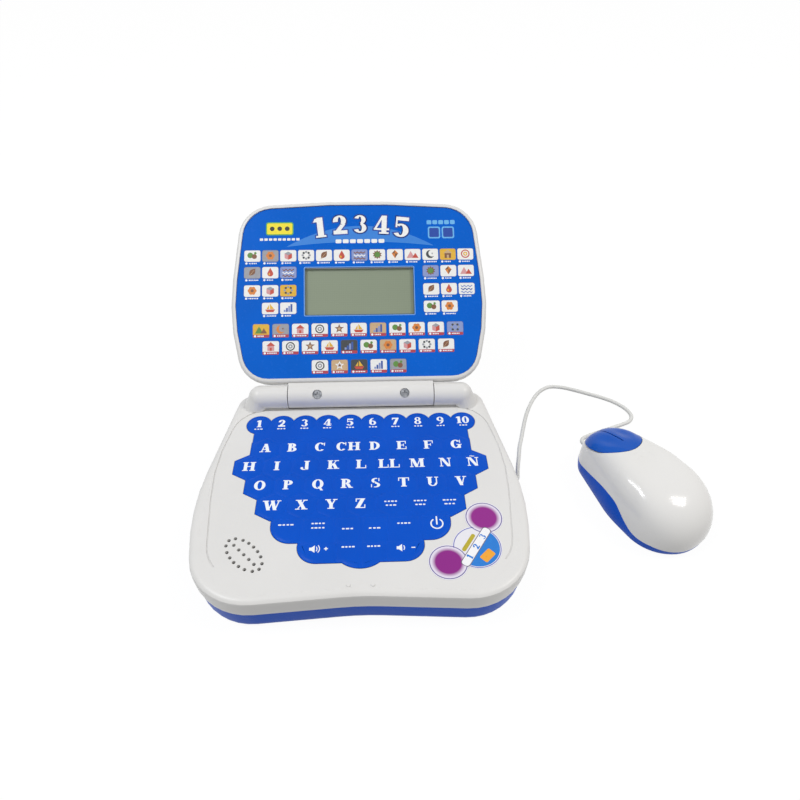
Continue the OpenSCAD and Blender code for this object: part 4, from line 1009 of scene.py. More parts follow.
# ---- mouse cord -----------------------------------------------------------------------
@dataclass
class MouseCord:
    """The thin cord from the laptop's right wall to the mouse's nose."""
    diameter: float = 2.5
    exit_slope: float = -16 / 92.5
    mouse_nose: float = 42.75
    sides: int = 14
    stops: tuple[tuple[float, float, float], ...] = (
        (90, 12.7, 6.3), (93, 15, 4.8), (94.8, 18.5, 2.9), (95.8, 23, 1.6), (97, 28.5, 1.25),
        (99, 36.5, 1.25), (101, 45, 1.25), (103.5, 52.5, 1.25), (106.3, 61.5, 1.25),
        (110.3, 73, 1.25), (114, 81.5, 1.25), (119, 90.5, 1.25), (125, 98, 1.25),
        (132, 102.3, 1.25), (139, 102.3, 1.25), (146.5, 100, 1.25), (157.5, 95, 1.25),
        (168.5, 89.5, 1.25), (175.5, 84.5, 1.25), (180.8, 78, 1.25), (182.3, 71.5, 1.25),
        (179.5, 66.5, 1.25), (174, 63.7, 1.25), (166.5, 60.8, 1.25), (158.5, 57.8, 1.25),
        (150, 54, 1.9), (143.3, 49.5, 3.6), (140.8, 44.5, 5.4))

    def route(self) -> list[Vector]:
        """The cord's middle line in millimetres, smooth through its stops."""
        turn = -math.atan(self.exit_slope)
        out = Vector((math.cos(turn), math.sin(turn), 0))
        inset = 1.2 + 4.5 / 7
        x = 92.5 + self.exit_slope * 30.5 - inset / math.cos(turn)
        start = Vector((x, 12, 6.5)) + out * 1.2
        mouse = Matrix.Translation((163.6, 0.9, 0)) @ Matrix.Rotation(math.radians(28.5), 4, "Z")
        end = mouse @ Vector((0, self.mouse_nose + 1.2, 6.4))
        back = mouse.to_3x3() @ Vector((0, 1, 0))
        points = [start + out * 0.5, *(Vector(s) for s in self.stops), end + back * 0.5]
        line = [start]
        for i in range(len(points) - 1):
            a, b = points[max(i - 1, 0)], points[i]
            c, d = points[i + 1], points[min(i + 2, len(points) - 1)]
            for k in range(6):
                t = k / 6
                line.append(0.5 * (2 * b + (c - a) * t + (2 * a - 5 * b + 4 * c - d) * t * t
                                   + (3 * b - a - 3 * c + d) * t ** 3))
        return line + [points[-1], end]

    def make(self, finishes: Finishes) -> None:
        line = self.route()
        rings = []
        for i, at in enumerate(line):
            along = (line[min(i + 1, len(line) - 1)] - line[max(i - 1, 0)]).normalized()
            side = Vector((0, 0, 1)).cross(along).normalized()
            over = along.cross(side)
            rings.append([at + (side * math.cos(math.tau * k / self.sides)
                                + over * math.sin(math.tau * k / self.sides)) * self.diameter / 2
                          for k in range(self.sides)])
        stock = Stock("mouse_cord_tube")
        stock.skin(rings)
        piece = stock.build([finishes.get(Finishes.CORD)], 40)
        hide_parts("mouse_cord")
        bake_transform(piece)


# ---- base -----------------------------------------------------------------------------
@dataclass
class Base:
    """The laptop's lower half: its shells and the sticker."""
    deck: float = 26.0
    deck_rim: tuple[tuple[float, float], ...] = (
        (11.0, 14.3), (15.0, 17.3), (21.8, 23.0), (23.606, 24.55), (24.95, 25.4), (25.706, 25.88))
    tub_rim: tuple[tuple[float, float], ...] = ((11.0, 14.3),)
    free_below: float = 16.0
    trough_y: float = 40.0
    sticker_discs: tuple[tuple[float, float, float], ...] = (
        (43.8, -55.0, 10.2), (65.2, -28.3, 10.2), (59.4, -46.6, 12.8))
    rim_insets: tuple[float, float] = (0.5, 0.95)
    band_turn: float = 56.0

    def shells(self, finishes: Finishes) -> None:
        """Dresses the two shells and the bush of the cord."""
        deck = copy_node("base_top_shell", "deck_moulding", finishes.get(Finishes.WHITE),
                         reshape=lambda shape: self.lift(shape, self.deck_rim))
        fit(deck, "base", "white_shell", "base_top_shell")
        tub = copy_node("base_bottom_shell", "tub_moulding", finishes.get(Finishes.BLUE),
                        reshape=lambda shape: self.lift(shape, self.tub_rim))
        fit(tub, "base", "blue_shell", "base_bottom_shell")
        fit(copy_node("battery_door", "battery_door_moulding", finishes.get(Finishes.BLUE), 30),
            "battery_door", "blue_shell", "battery_door")
        fit(copy_node("cord_bush", "cord_bush_moulding", finishes.get(Finishes.WHITE)),
            "base", "white_shell", "cord_bush")

    def lift(self, shape: bmesh.types.BMesh, levels: Sequence[tuple[float, float]]) -> None:
        """Sets the rim of a shell at the real seam's height, clear of the hinge's trough.

        Args:
            shape: The shell.
            levels: Pairs of a height in the CAD shell and the height that it gets. Those
                from free_below upwards only hold in front of the trough.
        """
        for v in shape.verts:
            for old, new in levels:
                ahead = v.co.y < self.trough_y * MM
                if abs(v.co.z / MM - old) < 0.03 and (old < self.free_below or ahead):
                    v.co.z = new * MM
                    break

    def sticker(self, finishes: Finishes) -> None:
        """Prints the deck's sticker: two discs that fade to white, and a third one between."""
        low, top = self.deck, self.deck + 0.2
        a, b, mid = self.sticker_discs
        paper = Stock("sticker_sheet")
        for k, (x, y, r) in enumerate(self.sticker_discs):
            paper.slab(round_loop(x, y, r, steps=72), low, top + 0.001 * k, closed=False)
        fit(paper.build([finishes.get(Finishes.LABEL)]), "base", "sticker", "deck_sticker")
        lines = (Ink("sticker_outline", "#5b62b4", "#6a70bd"),
                 Ink("sticker_violet_line", "#5a4a94", "#64549c"))
        rims = Stock("sticker_rims")
        for k, (x, y, r) in enumerate((mid, a, b)):
            outer, inner = (round_loop(x, y, r - less, steps=72) for less in self.rim_insets)
            rims.band(outer, inner, top + 0.01 + 0.012 * k, 1 if k else 0)
        fit(rims.build([finishes.get(ink) for ink in lines]), "base", "sticker")
        for name, (x, y, r), colour in (("sticker_disc_front", a, "#8d2586"),
                                        ("sticker_disc_back", b, "#92298a")):
            disc = Stock(name)
            disc.stamp(round_loop(x, y, r - 1.2, steps=64), top, 0.04)
            ink = FadingInk(name + "_ink", colour, "#e3dcec", (x, y), r - 1.2)
            fit(disc.build([finishes.get(ink)]), "base", "sticker")
        self.middle(finishes, mid, top)

    def middle(self, finishes: Finishes, disc: tuple[float, float, float], top: float) -> None:
        """Prints the middle disc: blue below a slanting white band, pale above it, and a badge."""
        x, y, r = disc
        inks = [finishes.get(Ink("sticker_" + row[0], *row[1:])) for row in (
            ("blue", "#1577cf", "#1a7fd6"), ("white", "#f4f4f6", "#ecedf1"),
            ("badge", "#f0a52c", "#e89b22"), ("olive", "#b9a92a", "#aa9b26"),
            ("grey", "#6d6677", "#777082"))]
        stock = Stock("sticker_middle_print")
        along = math.radians(self.band_turn)
        half = [along - math.pi + math.pi * k / 36 for k in range(37)]
        stock.stamp([(x + (r - 1.3) * math.cos(t), y + (r - 1.3) * math.sin(t)) for t in half],
                  top, 0.03, 0)
        ux, uy = math.cos(along), math.sin(along)
        for length, wide, shift, slot, rise in (
                (26.5, 5.0, 0.6, 4, 0.05), (25.9, 4.2, 0.6, 1, 0.06), (12.0, 2.2, 5.0, 3, 0.045)):
            bar = round_box(0, 0, length, wide, min(1.6, wide / 2 - 0.05))
            stock.stamp(shifted(bar, x - uy * shift, y + ux * shift, 1, self.band_turn), top, rise,
                      slot)
        badge = shifted(round_box(0, 0, 7.4, 4.8, 0.8), x + 4.6, y - 5.2, 1, self.band_turn - 12)
        stock.stamp(badge, top, 0.05, 2)
        for k, sign in enumerate("123"):
            loops = [shifted(l, x - uy * 0.6, y + ux * 0.6, 1, self.band_turn)
                     for l in word_loops(sign, -7.2 + 7.2 * k, 0, 3.4)]
            print_loops(stock, loops, top + 0.045, 0, 0.001)
        fit(stock.build(inks), "base", "sticker")


# ---- keypad ---------------------------------------------------------------------------
@dataclass
class Keypad:
    """The embossed film over the membrane, with its printed legends."""
    deck: float = 26.0
    film_top: float = 26.1
    pad_top: float = 26.5
    keys_y: float = 4.0
    pitch: float = 16.0
    row_pitch: float = 14.1
    number_pitch: float = 13.8
    number_y: float = 45.0
    rows: tuple[str, ...] = ("A B C CH D E F G", "H I J K L LL M N Ñ", "O P Q R S T U V",
                             "W X Y Z . . .")
    letter_high: float = 6.5
    digit_high: float = 5.8
    pad_soft: float = 2.4
    pad_corner: float = 2.6
    words: tuple[tuple[float, float, float], ...] = (
        (-39.3, -30.0, 8.4), (-22.5, -29.6, 7.6), (-22.5, -32.4, 7.6), (-7, -33.4, 6.6),
        (7, -33.4, 6.6), (22.5, -30.8, 7.6), (-6.5, -44.6, 7), (6.5, -44.6, 7))
    power_at: tuple[float, float] = (39.9, -31.6)
    volume_at: tuple[tuple[float, float, int], ...] = ((-23.6, -45.4, 2), (20.8, -46.0, 1))

    def row_xs(self, count: int, pitch: float) -> list[float]:
        """Middles of the keys of a row."""
        return [(i - (count - 1) / 2) * pitch for i in range(count)]

    def letter_spots(self) -> list[tuple[str, float, float]]:
        """Every key of the letter rows with its legend and its middle."""
        spots = []
        for k, row in enumerate(self.rows):
            signs = row.split()
            y = self.keys_y + (1.5 - k) * self.row_pitch
            spots += [(s, x, y) for s, x in zip(signs, self.row_xs(len(signs), self.pitch))]
        return spots

    def sheet(self, finishes: Finishes) -> list[Loop]:
        """Makes the flat film from the CAD film's outline.

        Args:
            finishes: The finishes.

        Returns:
            The outlines of the raised pads.
        """
        shape = welded("keypad_overlay")
        high = (self.deck + 0.6) * MM
        low = min(v.co.z for v in shape.verts)
        tops = [f for f in shape.faces if f.normal.z > 0.9 and min(v.co.z for v in f.verts) > high]
        under = [f for f in shape.faces if max(v.co.z for v in f.verts) < low + 1e-5]
        pads = [patch_loop(patch) for patch in patches(tops)]
        film = Stock("keypad_film")
        film.slab(face_up(patch_loop(max(patches(under), key=len))), low / MM, self.film_top)
        shape.free()
        fit(film.build([finishes.get(Finishes.KEYPAD)]), "base", "keypad_print", "keypad_overlay")
        return pads

    def pads(self, finishes: Finishes, outlines: Sequence[Loop]) -> None:
        """Embosses the keys: repeated hexagons and lobes, and the long keys one by one."""
        film = finishes.get(Finishes.KEYPAD)
        letters = [(x, y, 0) for _, x, y in self.letter_spots()]
        numbers = [(x, self.number_y, 0) for x in self.row_xs(10, self.number_pitch)]
        points = round_loop(0, 0, self.pitch / math.sqrt(3) - 0.35, steps=6, turn=30)
        corners = [(x, y, self.pad_corner) for x, y in points]
        hexagon = [(p.x, p.y) for p, _ in outline(corners, 5)]
        for name, loop, spots in (("letter_pads", hexagon, letters),
                                  ("number_pads", round_loop(0, 0, 6.4, steps=40), numbers)):
            key = Stock("key_shape")
            pillow(key, loop, self.film_top, self.pad_top, self.pad_soft)
            made = repeat(name, key.build([film], 60), spots, film)
            soften(made, 60)
            fit(made, "base", "keypad_print")
        low = Stock("long_pads")
        for loop in outlines:
            if sum(y for _, y in loop) / len(loop) < self.keys_y - 1.5 * self.row_pitch - 8:
                pillow(low, inset_loop(loop, -0.2), self.film_top, self.pad_top, 1.9)
        fit(low.build([film], 60), "base", "keypad_print")

    def legends(self, finishes: Finishes) -> None:
        """Prints the letters, the numbers and the plain marks on the keys."""
        ink = Stock("key_legends")
        for sign, x, y in self.letter_spots():
            if sign == ".":
                self.dashes(ink, x, y + 1.0, 7.6)
                self.dashes(ink, x, y - 1.6, 6.2)
            else:
                print_loops(ink, word_loops(sign, x, y + 0.2, self.letter_high), self.pad_top)
        for k, x in enumerate(self.row_xs(10, self.number_pitch)):
            print_loops(ink, word_loops(str(k + 1), x, self.number_y + 0.6, self.digit_high),
                        self.pad_top)
            self.dashes(ink, x, self.number_y - 4.0, 5.4)
        for x, y, wide in self.words:
            self.dashes(ink, x, y, wide)
        self.power(ink, *self.power_at)
        for x, y, waves in self.volume_at:
            self.volume(ink, x, y, waves)
        fit(ink.build([finishes.get(Finishes.LEGEND)]), "base", "keypad_print")

    def dashes(self, ink: Stock, x: float, y: float, wide: float) -> None:
        """Prints a row of short dashes, in the place of a word."""
        count = max(3, round(wide / 1.9))
        step = wide / count
        for k in range(count):
            long = step * (0.62 if (k * 7 + round(x)) % 3 else 0.82)
            box = round_box(x - wide / 2 + step * (k + 0.5), y, long, 0.85, 0.2, 2)
            ink.stamp(box, self.pad_top, PRINT_MM)

    def power(self, ink: Stock, x: float, y: float) -> None:
        """Prints the power sign: an open ring with a bar in its gap."""
        sign = FatFace()
        sign.bowl(0, 0, 3.5, 3.5, 122, 418, 0.75, 0.75)
        sign.loops.append(round_box(0, 2.0, 0.8, 5.4, 0.3, 2))
        print_loops(ink, [shifted(l, x, y) for l in sign.loops], self.pad_top)

    def volume(self, ink: Stock, x: float, y: float, waves: int) -> None:
        """Prints a loudspeaker sign with one or more waves, and a plus or a minus."""
        sign = FatFace()
        sign.loops += [[(-2.6, -0.9), (-1.5, -0.9), (-1.5, 0.9), (-2.6, 0.9)],
                       [(-1.5, -0.9), (0.2, -2.2), (0.2, 2.2), (-1.5, 0.9)]]
        for k in range(waves):
            sign.bowl(0.1, 0, 1.5 + k * 1.3, 2 + k * 1.1, -48, 48, 0.5, 0.5)
        sign.bar(4.9, -0.3, 6.9, 0.3)
        if waves > 1:
            sign.bar(5.6, -1, 6.2, 1)
        print_loops(ink, [shifted(l, x, y) for l in sign.loops], self.pad_top)

    def make(self, finishes: Finishes) -> None:
        """Makes the film, its pads and its legends."""
        self.pads(finishes, self.sheet(finishes))
        self.legends(finishes)


# ---- lid ------------------------------------------------------------------------------
class Motif(Enum):
    """The plain signs that the lid's tiles carry, one unit high.

    A sign is a list of shapes in the order of printing. Each has its inks, the name of one
    of Tile's shape methods, and its numbers. The inks a and b are the tile's own, p is its
    panel's, and c is a third one that differs from the panel's.
    """
    DISCS = "a disc -0.22 0.05 0.3, b disc 0.2 -0.08 0.26, a disc 0.3 0.28 0.13 16"
    STAR = "a burst 5 0.5 0.21, b burst 5 0.24 0.1"
    MOON = "a disc 0 0 0.44, p disc 0.18 0.09 0.36, b burst 4 0.14 0.05 0.22 0.08"
    SUN = "b burst 10 0.5 0.34, a disc 0 0 0.29"
    LEAF = "a blade, b vein"
    FLOWER = "a ring 6 0.27 0.19 18, b disc 0 0 0.16 18"
    BOAT = ("a loop -0.34 -0.42 0.34 -0.42 0.5 -0.14 -0.5 -0.14, "
            "b loop -0.02 -0.1 0.4 -0.1 -0.02 0.48, b loop -0.1 -0.1 -0.1 0.36 -0.38 -0.1")
    HOUSE = ("a loop -0.34 -0.44 0.34 -0.44 0.34 0.08 -0.34 0.08, "
             "b loop -0.46 0.08 0.46 0.08 0 0.48, "
             "b loop -0.1 -0.44 0.1 -0.44 0.1 -0.1 -0.1 -0.1")
    KITE = ("a loop 0 -0.42 0.34 0.12 0 0.48 -0.34 0.12, b loop 0 -0.42 0.34 0.12 0 0.12, "
            "b loop 0 0.12 0 0.48 -0.34 0.12")
    DROP = "a drop, b oval -0.1 -0.18 0.08 0.12"
    CUBE = ("a loop -0.38 -0.28 0 -0.46 0 0.02 -0.38 0.22, "
            "b loop 0 -0.46 0.38 -0.28 0.38 0.22 0 0.02, "
            "c loop -0.38 0.22 0 0.02 0.38 0.22 0 0.42")
    STEPS = "ba bars 4 0.23 0.19 0.2"
    RINGS = "a disc 0 0 0.46, p disc 0 0 0.34, b disc 0 0 0.23, p disc 0 0 0.1 16"
    PEAKS = "a loop -0.62 -0.4 0.22 -0.4 -0.2 0.36, b loop -0.06 -0.4 0.62 -0.4 0.28 0.16"
    WAVES = "ba waves 3 0.32 0.13"
    BEADS = "ba ring 8 0.36 0.12 16"


@dataclass
class Tile:
    """One small picture of the lid: a rounded panel, a plain sign and a caption bar."""
    x: float
    v: float
    motif: Motif
    number: int
    panel: int
    inks: tuple[int, int]
    strip: bool
    width: float = 10.2
    height: float = 7.5
    corner: float = 1.3
    leaf_turn: float = -38.0

    def print(self, stock: Stock, level: float) -> None:
        """Prints the tile on a stock whose slots follow LidPrint.INKS."""
        size = self.height * 0.82
        edge = round_box(self.x, self.v, self.width + 0.5, self.height + 0.5, self.corner)
        stock.stamp(edge, level, 0.012, LidPrint.OUTLINE)
        panel = round_box(self.x, self.v, self.width, self.height, self.corner - 0.1)
        stock.stamp(panel, level, 0.022, self.panel)
        for k, (slot, loop) in enumerate(self.sign()):
            stock.stamp(face_up(shifted(loop, self.x, self.v + 0.2, size)), level,
                      PRINT_MM + 0.003 * k, slot)
        foot = self.v - self.height / 2 - (0.2 if self.strip else 1.15)
        if self.strip:
            stock.stamp(round_box(self.x, foot, self.width, 1.9, 0.7), level, 0.06, LidPrint.STRIP)
        self.caption(stock, foot, level + 0.06)

    def caption(self, stock: Stock, v: float, level: float) -> None:
        """Prints a dot and a row of dashes, in the place of a number and a word."""
        at = self.x - self.width / 2 + 1.4
        stock.stamp(round_loop(at, v, 0.72, steps=16), level, 0.01, LidPrint.WHITE)
        at += 1.5
        for k in range(4 + self.number % 3):
            long = 0.62 + 0.3 * ((self.number * 5 + k * 3) % 4) / 3
            stock.stamp(round_box(at + long / 2, v, long, 0.8, 0.18, 2), level, 0.01,
                      LidPrint.WHITE)
            at += long + 0.28

    def sign(self) -> list[tuple[int, Loop]]:
        """The loops of the motif, one unit high and centred, each with its slot."""
        third = LidPrint.GREY if self.panel == LidPrint.PAPER else self.panel
        slots = dict(zip("abpc", (*self.inks, self.panel, third)))
        parts: list[tuple[int, Loop]] = []
        for shape in self.motif.value.split(", "):
            inks, kind, *numbers = shape.split()
            loops = getattr(self, kind)(*map(float, numbers))
            parts += [(slots[inks[k % len(inks)]], loop) for k, loop in enumerate(loops)]
        return parts

    def loop(self, *numbers: float) -> list[Loop]:
        """A loop, given as the coordinates of its corners in turn."""
        return [list(zip(numbers[::2], numbers[1::2]))]

    def disc(self, x: float, y: float, radius: float, steps: float = 28) -> list[Loop]:
        """A disc."""
        return [round_loop(x, y, radius, steps=int(steps))]

    def oval(self, x: float, y: float, rx: float, ry: float) -> list[Loop]:
        """A small upright oval."""
        return [round_loop(x, y, rx, ry, 16)]

    def ring(self, count: float, middle: float, radius: float, steps: float) -> list[Loop]:
        """A ring of discs, with their middles at a distance from the origin."""
        return [round_loop(x, y, radius, steps=int(steps))
                for x, y in round_loop(0, 0, middle, steps=int(count))]

    def burst(self, points: float, outer: float, inner: float, x: float = 0.0,
              y: float = 0.0) -> list[Loop]:
        """A star with a number of points."""
        spots = []
        for k in range(2 * int(points)):
            r, t = inner if k % 2 else outer, math.pi * k / points
            spots.append((x + r * math.sin(t), y + r * math.cos(t)))
        return [spots]

    def bars(self, count: float, pitch: float, wide: float, rise: float) -> list[Loop]:
        """A row of upright bars, each taller than the one before it."""
        spots = [(-0.46 + pitch * k, -0.2 + rise * k) for k in range(int(count))]
        return [[(x, -0.42), (x + wide, -0.42), (x + wide, y), (x, y)] for x, y in spots]

    def waves(self, count: float, pitch: float, thick: float) -> list[Loop]:
        """Wavy lines, one above the other."""
        loops = []
        for k in range(int(count)):
            top = [(-0.6 + 1.2 * i / 16, -0.34 + pitch * k + 0.07 * math.sin(i * 1.2 + k))
                   for i in range(17)]
            loops.append([(x, y - thick) for x, y in top] + top[::-1])
        return loops

    def blade(self) -> list[Loop]:
        """The blade of a slanting leaf."""
        edge = [(0.2852 * math.sin(math.pi * k / 14) ** 1.2, -0.5 + k / 14) for k in range(15)]
        edge += [(-x, y) for x, y in reversed(edge[1:-1])]
        return [shifted(edge, 0, 0.04, 1, self.leaf_turn)]

    def vein(self) -> list[Loop]:
        """The stalk and middle vein of the leaf."""
        line = [(-0.025, -0.55), (0.025, -0.55), (0.012, 0.34), (-0.012, 0.34)]
        return [shifted(line, 0, 0.02, 1, self.leaf_turn)]

    def drop(self) -> list[Loop]:
        """A drop with its tip up."""
        turns = [math.radians(-205 + 230 * k / 18) for k in range(19)]
        belly = [(0.3 * math.cos(t), -0.14 + 0.3 * math.sin(t)) for t in turns]
        return [belly + [(0.0, 0.5)]]


@dataclass
class LidPrint:
    """What is printed on the lid's film: tiles round the window, a badge and big numbers."""
    level: float = 4.2
    rows: tuple[tuple[float, float, tuple[float, ...]], ...] = (
        (90.4, 11.37, tuple(range(-6, 7))), (79.3, 11.37, (-6, -5, -4, 4, 5, 6)),
        (67.3, 11.37, (-6, -5, -4, 4, 5, 6)), (55.8, 11.37, (-5, -4, 4, 5)),
        (41.9, 12.23, tuple(range(-5, 6))), (30.9, 12.23, tuple(k - 4.5 for k in range(10))),
        (18.3, 12.23, (-2, -1, 0, 1, 2)))
    nudges: tuple[float, ...] = (0.35, 0.35, 0.35, 0.35, -0.95, -0.95, -0.95)
    strips_from: int = 4
    sweep_half: float = 47.0
    badge: tuple[float, float] = (-50.6, 108.6)
    number_highs: tuple[float, ...] = (13.4, 12.4, 11.6, 12.4, 13.4)

    (WHITE, OUTLINE, STRIP, PAPER, GREY, SAND, SKY, SUNNY, GREEN, RED, BROWN, DARK, BLUE,
     ORANGE, PINK) = range(15)
    INKS = tuple(Ink("tile_" + row[0], *row[1:]) for row in (
        ("white", "#f4f6fa", "#e8edf5"), ("outline", "#2f4f9a", "#35569f"),
        ("strip", "#b03a4a", "#a53646"), ("paper", "#efefec", "#e6e7e6"),
        ("grey", "#9a9ca3", "#8d9098"), ("sand", "#c9ab84", "#bb9c75"),
        ("sky", "#8797c9", "#7c8dc2"), ("sunny", "#e2b234", "#d5a42c"),
        ("green", "#5b8a3c", "#4f7d34"), ("red", "#c24a3a", "#b34233"),
        ("brown", "#7d5238", "#6f4730"), ("dark", "#35393c", "#3f4447"),
        ("blue", "#33529c", "#3a5aa6"), ("orange", "#d98236", "#cc762d"),
        ("pink", "#d59a9c", "#c98c8f")))

    def tiles(self) -> list[Tile]:
        """All tiles, with signs and colours dealt out in turn."""
        motifs = list(Motif)
        pairs = ((self.GREEN, self.BROWN), (self.RED, self.SUNNY), (self.DARK, self.GREY),
                 (self.ORANGE, self.BROWN), (self.BLUE, self.SKY), (self.BROWN, self.SAND),
                 (self.PINK, self.RED))
        panels = {n: slot for slot, numbers in (
            (self.GREY, (1, 13, 30, 54)), (self.SKY, (6, 15, 16, 39)),
            (self.SUNNY, (11, 21, 29)), (self.SAND, (35, 46, 51)), (self.DARK, (44, 52)))
            for n in numbers}
        made = []
        for k, (v, pitch, places) in enumerate(self.rows):
            for i in places:
                n = len(made)
                panel = panels.get(n, self.PAPER)
                inks = pairs[(n * 3 + k) % len(pairs)]
                if panel in inks:
                    inks = (self.PAPER, self.BROWN)
                motif = motifs[(n * 5 + 3 * k) % len(motifs)]
                made.append(Tile(i * pitch + self.nudges[k], v, motif, n + 1, panel, inks,
                                 k >= self.strips_from))
        return made

    def swoosh(self, stock: Stock, slot: int) -> None:
        """Prints the pale sweep behind the numbers, between two arcs."""
        top, low = [], []
        for k in range(33):
            x = self.sweep_half * (k / 16 - 1)
            rise = 1 - (x / self.sweep_half) ** 2
            top.append((x + 1, 96.6 + 13.5 * rise))
            low.append((x + 1, 96.4 + (3.0 * rise if abs(x) < self.sweep_half - 1 else 0)))
        stock.stamp(face_up(top + low[::-1]), self.level, 0.01, slot)

    def heading(self, finishes: Finishes, place: Matrix) -> None:
        """Prints the badge, the row of big numbers and the block of shapes."""
        stock = Stock("lid_heading", place)
        inks = [finishes.get(Ink(*row)) for row in (
            ("badge_yellow", "#f3e12f", "#ecd826"), ("badge_edge", "#4fa64b", "#469a43"),
            ("sweep_blue", "#2c7fd6", "#2a7ad0"), ("heading_edge", "#0a3f9e", "#0b429f"),
            ("heading_white", "#f3f3f1", "#e4e5e6"), ("heading_sky", "#69b4ea", "#60ace4"),
            ("badge_print", "#20241c", "#2a2e24"))]
        yellow, edge, sweep, dark, white, sky, black = range(len(inks))
        at = self.level
        self.swoosh(stock, sweep)
        x, v = self.badge
        stock.stamp(round_box(x, v, 17.6, 8.8, 1.5), at, 0.012, edge)
        stock.stamp(round_box(x, v, 16.2, 7.4, 1.0), at, 0.022, yellow)
        for k in (-1, 0, 1):
            stock.stamp(round_loop(x + 4.8 * k, v, 1.5, steps=24), at, 0.03, black)
        for k, (sign, high) in enumerate(zip("12345", self.number_highs)):
            v = 109.2 + 2.2 * (1 - ((k - 2) / 2) ** 2)
            loops = word_loops(sign, -25.1 + 13.3 * k, v, high, (2 - k) * 3.0)
            for loop in loops:
                stock.stamp(inset_loop(face_up(loop), -0.75), at, PRINT_MM, dark)
            print_loops(stock, loops, at + PRINT_MM, white, 0.001)
        for x in (48.8, 57.8):
            stock.stamp(round_box(x, 105.2, 8.0, 8.0, 1.3), at, 0.02, sky)
            stock.stamp(round_box(x, 105.2, 6.2, 6.2, 0.8), at, 0.03, dark)
        for first, v, pitch, count, (wide, high, radius, steps), rise, slot in (
                (-62.2, 101.4, 2.9, 9, (2.1, 1.6, 0.3, 2), 0.02, white),
                (-13.0, 99.8, 4.6, 7, (3.7, 2.6, 0.6, 3), 0.04, white),
                (45.7, 112.2, 3.8, 5, (3.1, 2.8, 0.6, 2), 0.02, sky)):
            for k in range(count):
                box = round_box(first + pitch * k, v, wide, high, radius, steps)
                stock.stamp(box, at, rise, slot)
        fit(stock.build(inks), "lid", "lid_print")

    def make(self, finishes: Finishes, place: Matrix) -> None:
        """Prints everything on the film."""
        stock = Stock("lid_tiles", place)
        for tile in self.tiles():
            tile.print(stock, self.level)
        fit(stock.build([finishes.get(ink) for ink in self.INKS]), "lid", "lid_print")
        self.heading(finishes, place)


@dataclass
class Lid:
    """The screen half: two shells, the hinge cover, the printed film and the display."""
    axis: tuple[float, float, float] = (0.0, 64.2, 31.5)
    lean: float = 39.0
    window: tuple[float, float, float] = (68.6, 30.6, 66.6)
    film_top: float = 4.2

    def place(self) -> Matrix:
        """Matrix from the lid's own coordinates to the frame, in millimetres."""
        return Matrix.Translation(self.axis) @ Matrix.Rotation(math.radians(self.lean), 4, "X")

    def display(self, finishes: Finishes, place: Matrix) -> None:
        """Frames the window with two painted rings: painted shadow inside, for the recess's shade,
        and painted highlight outside it, for the lit bevel.
        """
        wide, high, mid = self.window
        lines = Stock("window_lines", place)
        loops = [round_box(0, mid, wide + more, high + more, 0.4 + more / 3)
                 for more in (1.9, 1.0, 0.1)]
        for slot in range(2):
            lines.band(loops[slot], loops[slot + 1], self.film_top + 0.02, slot)
        # Painted light, not print: the pale ink is a painted highlight of the lit bevel, the dark
        # ink a painted shadow of the recess.
        inks = (Ink("window_pale_line", "#79aeea", "#70a6e4"),
                Ink("window_dark_line", "#1b3a6c", "#17345f"))
        fit(lines.build([finishes.get(ink) for ink in inks]), "lid", "lid_print")

    def make(self, finishes: Finishes) -> None:
        """Makes the lid's pieces."""
        for node, name in (("lid_back_shell", "lid_back_moulding"),
                           ("lid_front_shell", "lid_front_moulding"),
                           ("hinge_cover", "hinge_cover_moulding")):
            fit(copy_node(node, name, finishes.get(Finishes.WHITE)), "lid", "white_shell", node)
        place = self.place()
        LidPrint(self.film_top).make(finishes, place)
        self.display(finishes, place)


# ---- parts inside ---------------------------------------------------------------------
@dataclass(frozen=True)
class Dressing:
    """The finish of CAD nodes whose shape is kept."""
    finish: Finish
    nodes: tuple[str, ...]


DRESSINGS = (
    Dressing(Finishes.LID, ("lid_film",)),
    Dressing(Finishes.STEEL, ("base_screws", "battery_door_screws", "main_board_screws",
                              "lid_screws", "hinge_screws", "display_board_screws",
                              "mouse_screws", "battery_contacts", "speaker_magnet",
                              "speaker_frame")),
    Dressing(Finishes.GLASS, ("display_glass",)),
    Dressing(Finishes.BOARD, ("main_board", "display_board", "mouse_board")),
    Dressing(Finishes.CHIP, ("main_board_parts", "display_board_chip", "mouse_switches")),
    Dressing(Finishes.CONE, ("speaker_cone",)),
    Dressing(Finishes.RUBBER, ("display_strips",)),
    Dressing(Finishes.MEMBRANE, ("keypad_spacer", "keypad_circuit")),
    Dressing(Finishes.CABLE, ("wire_harness", "lid_cable_lower", "lid_cable_upper")),
    Dressing(Finishes.CELL, ("battery_cells",)),
    Dressing(Finishes.WHITE, ("mouse_cord_bush",)))


def dress_nodes(finishes: Finishes) -> None:
    """Gives every kept CAD node its finish."""
    for dressing in DRESSINGS:
        material = finishes.get(dressing.finish)
        for node in dressing.nodes:
            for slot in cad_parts[node].material_slots:
                slot.material = material


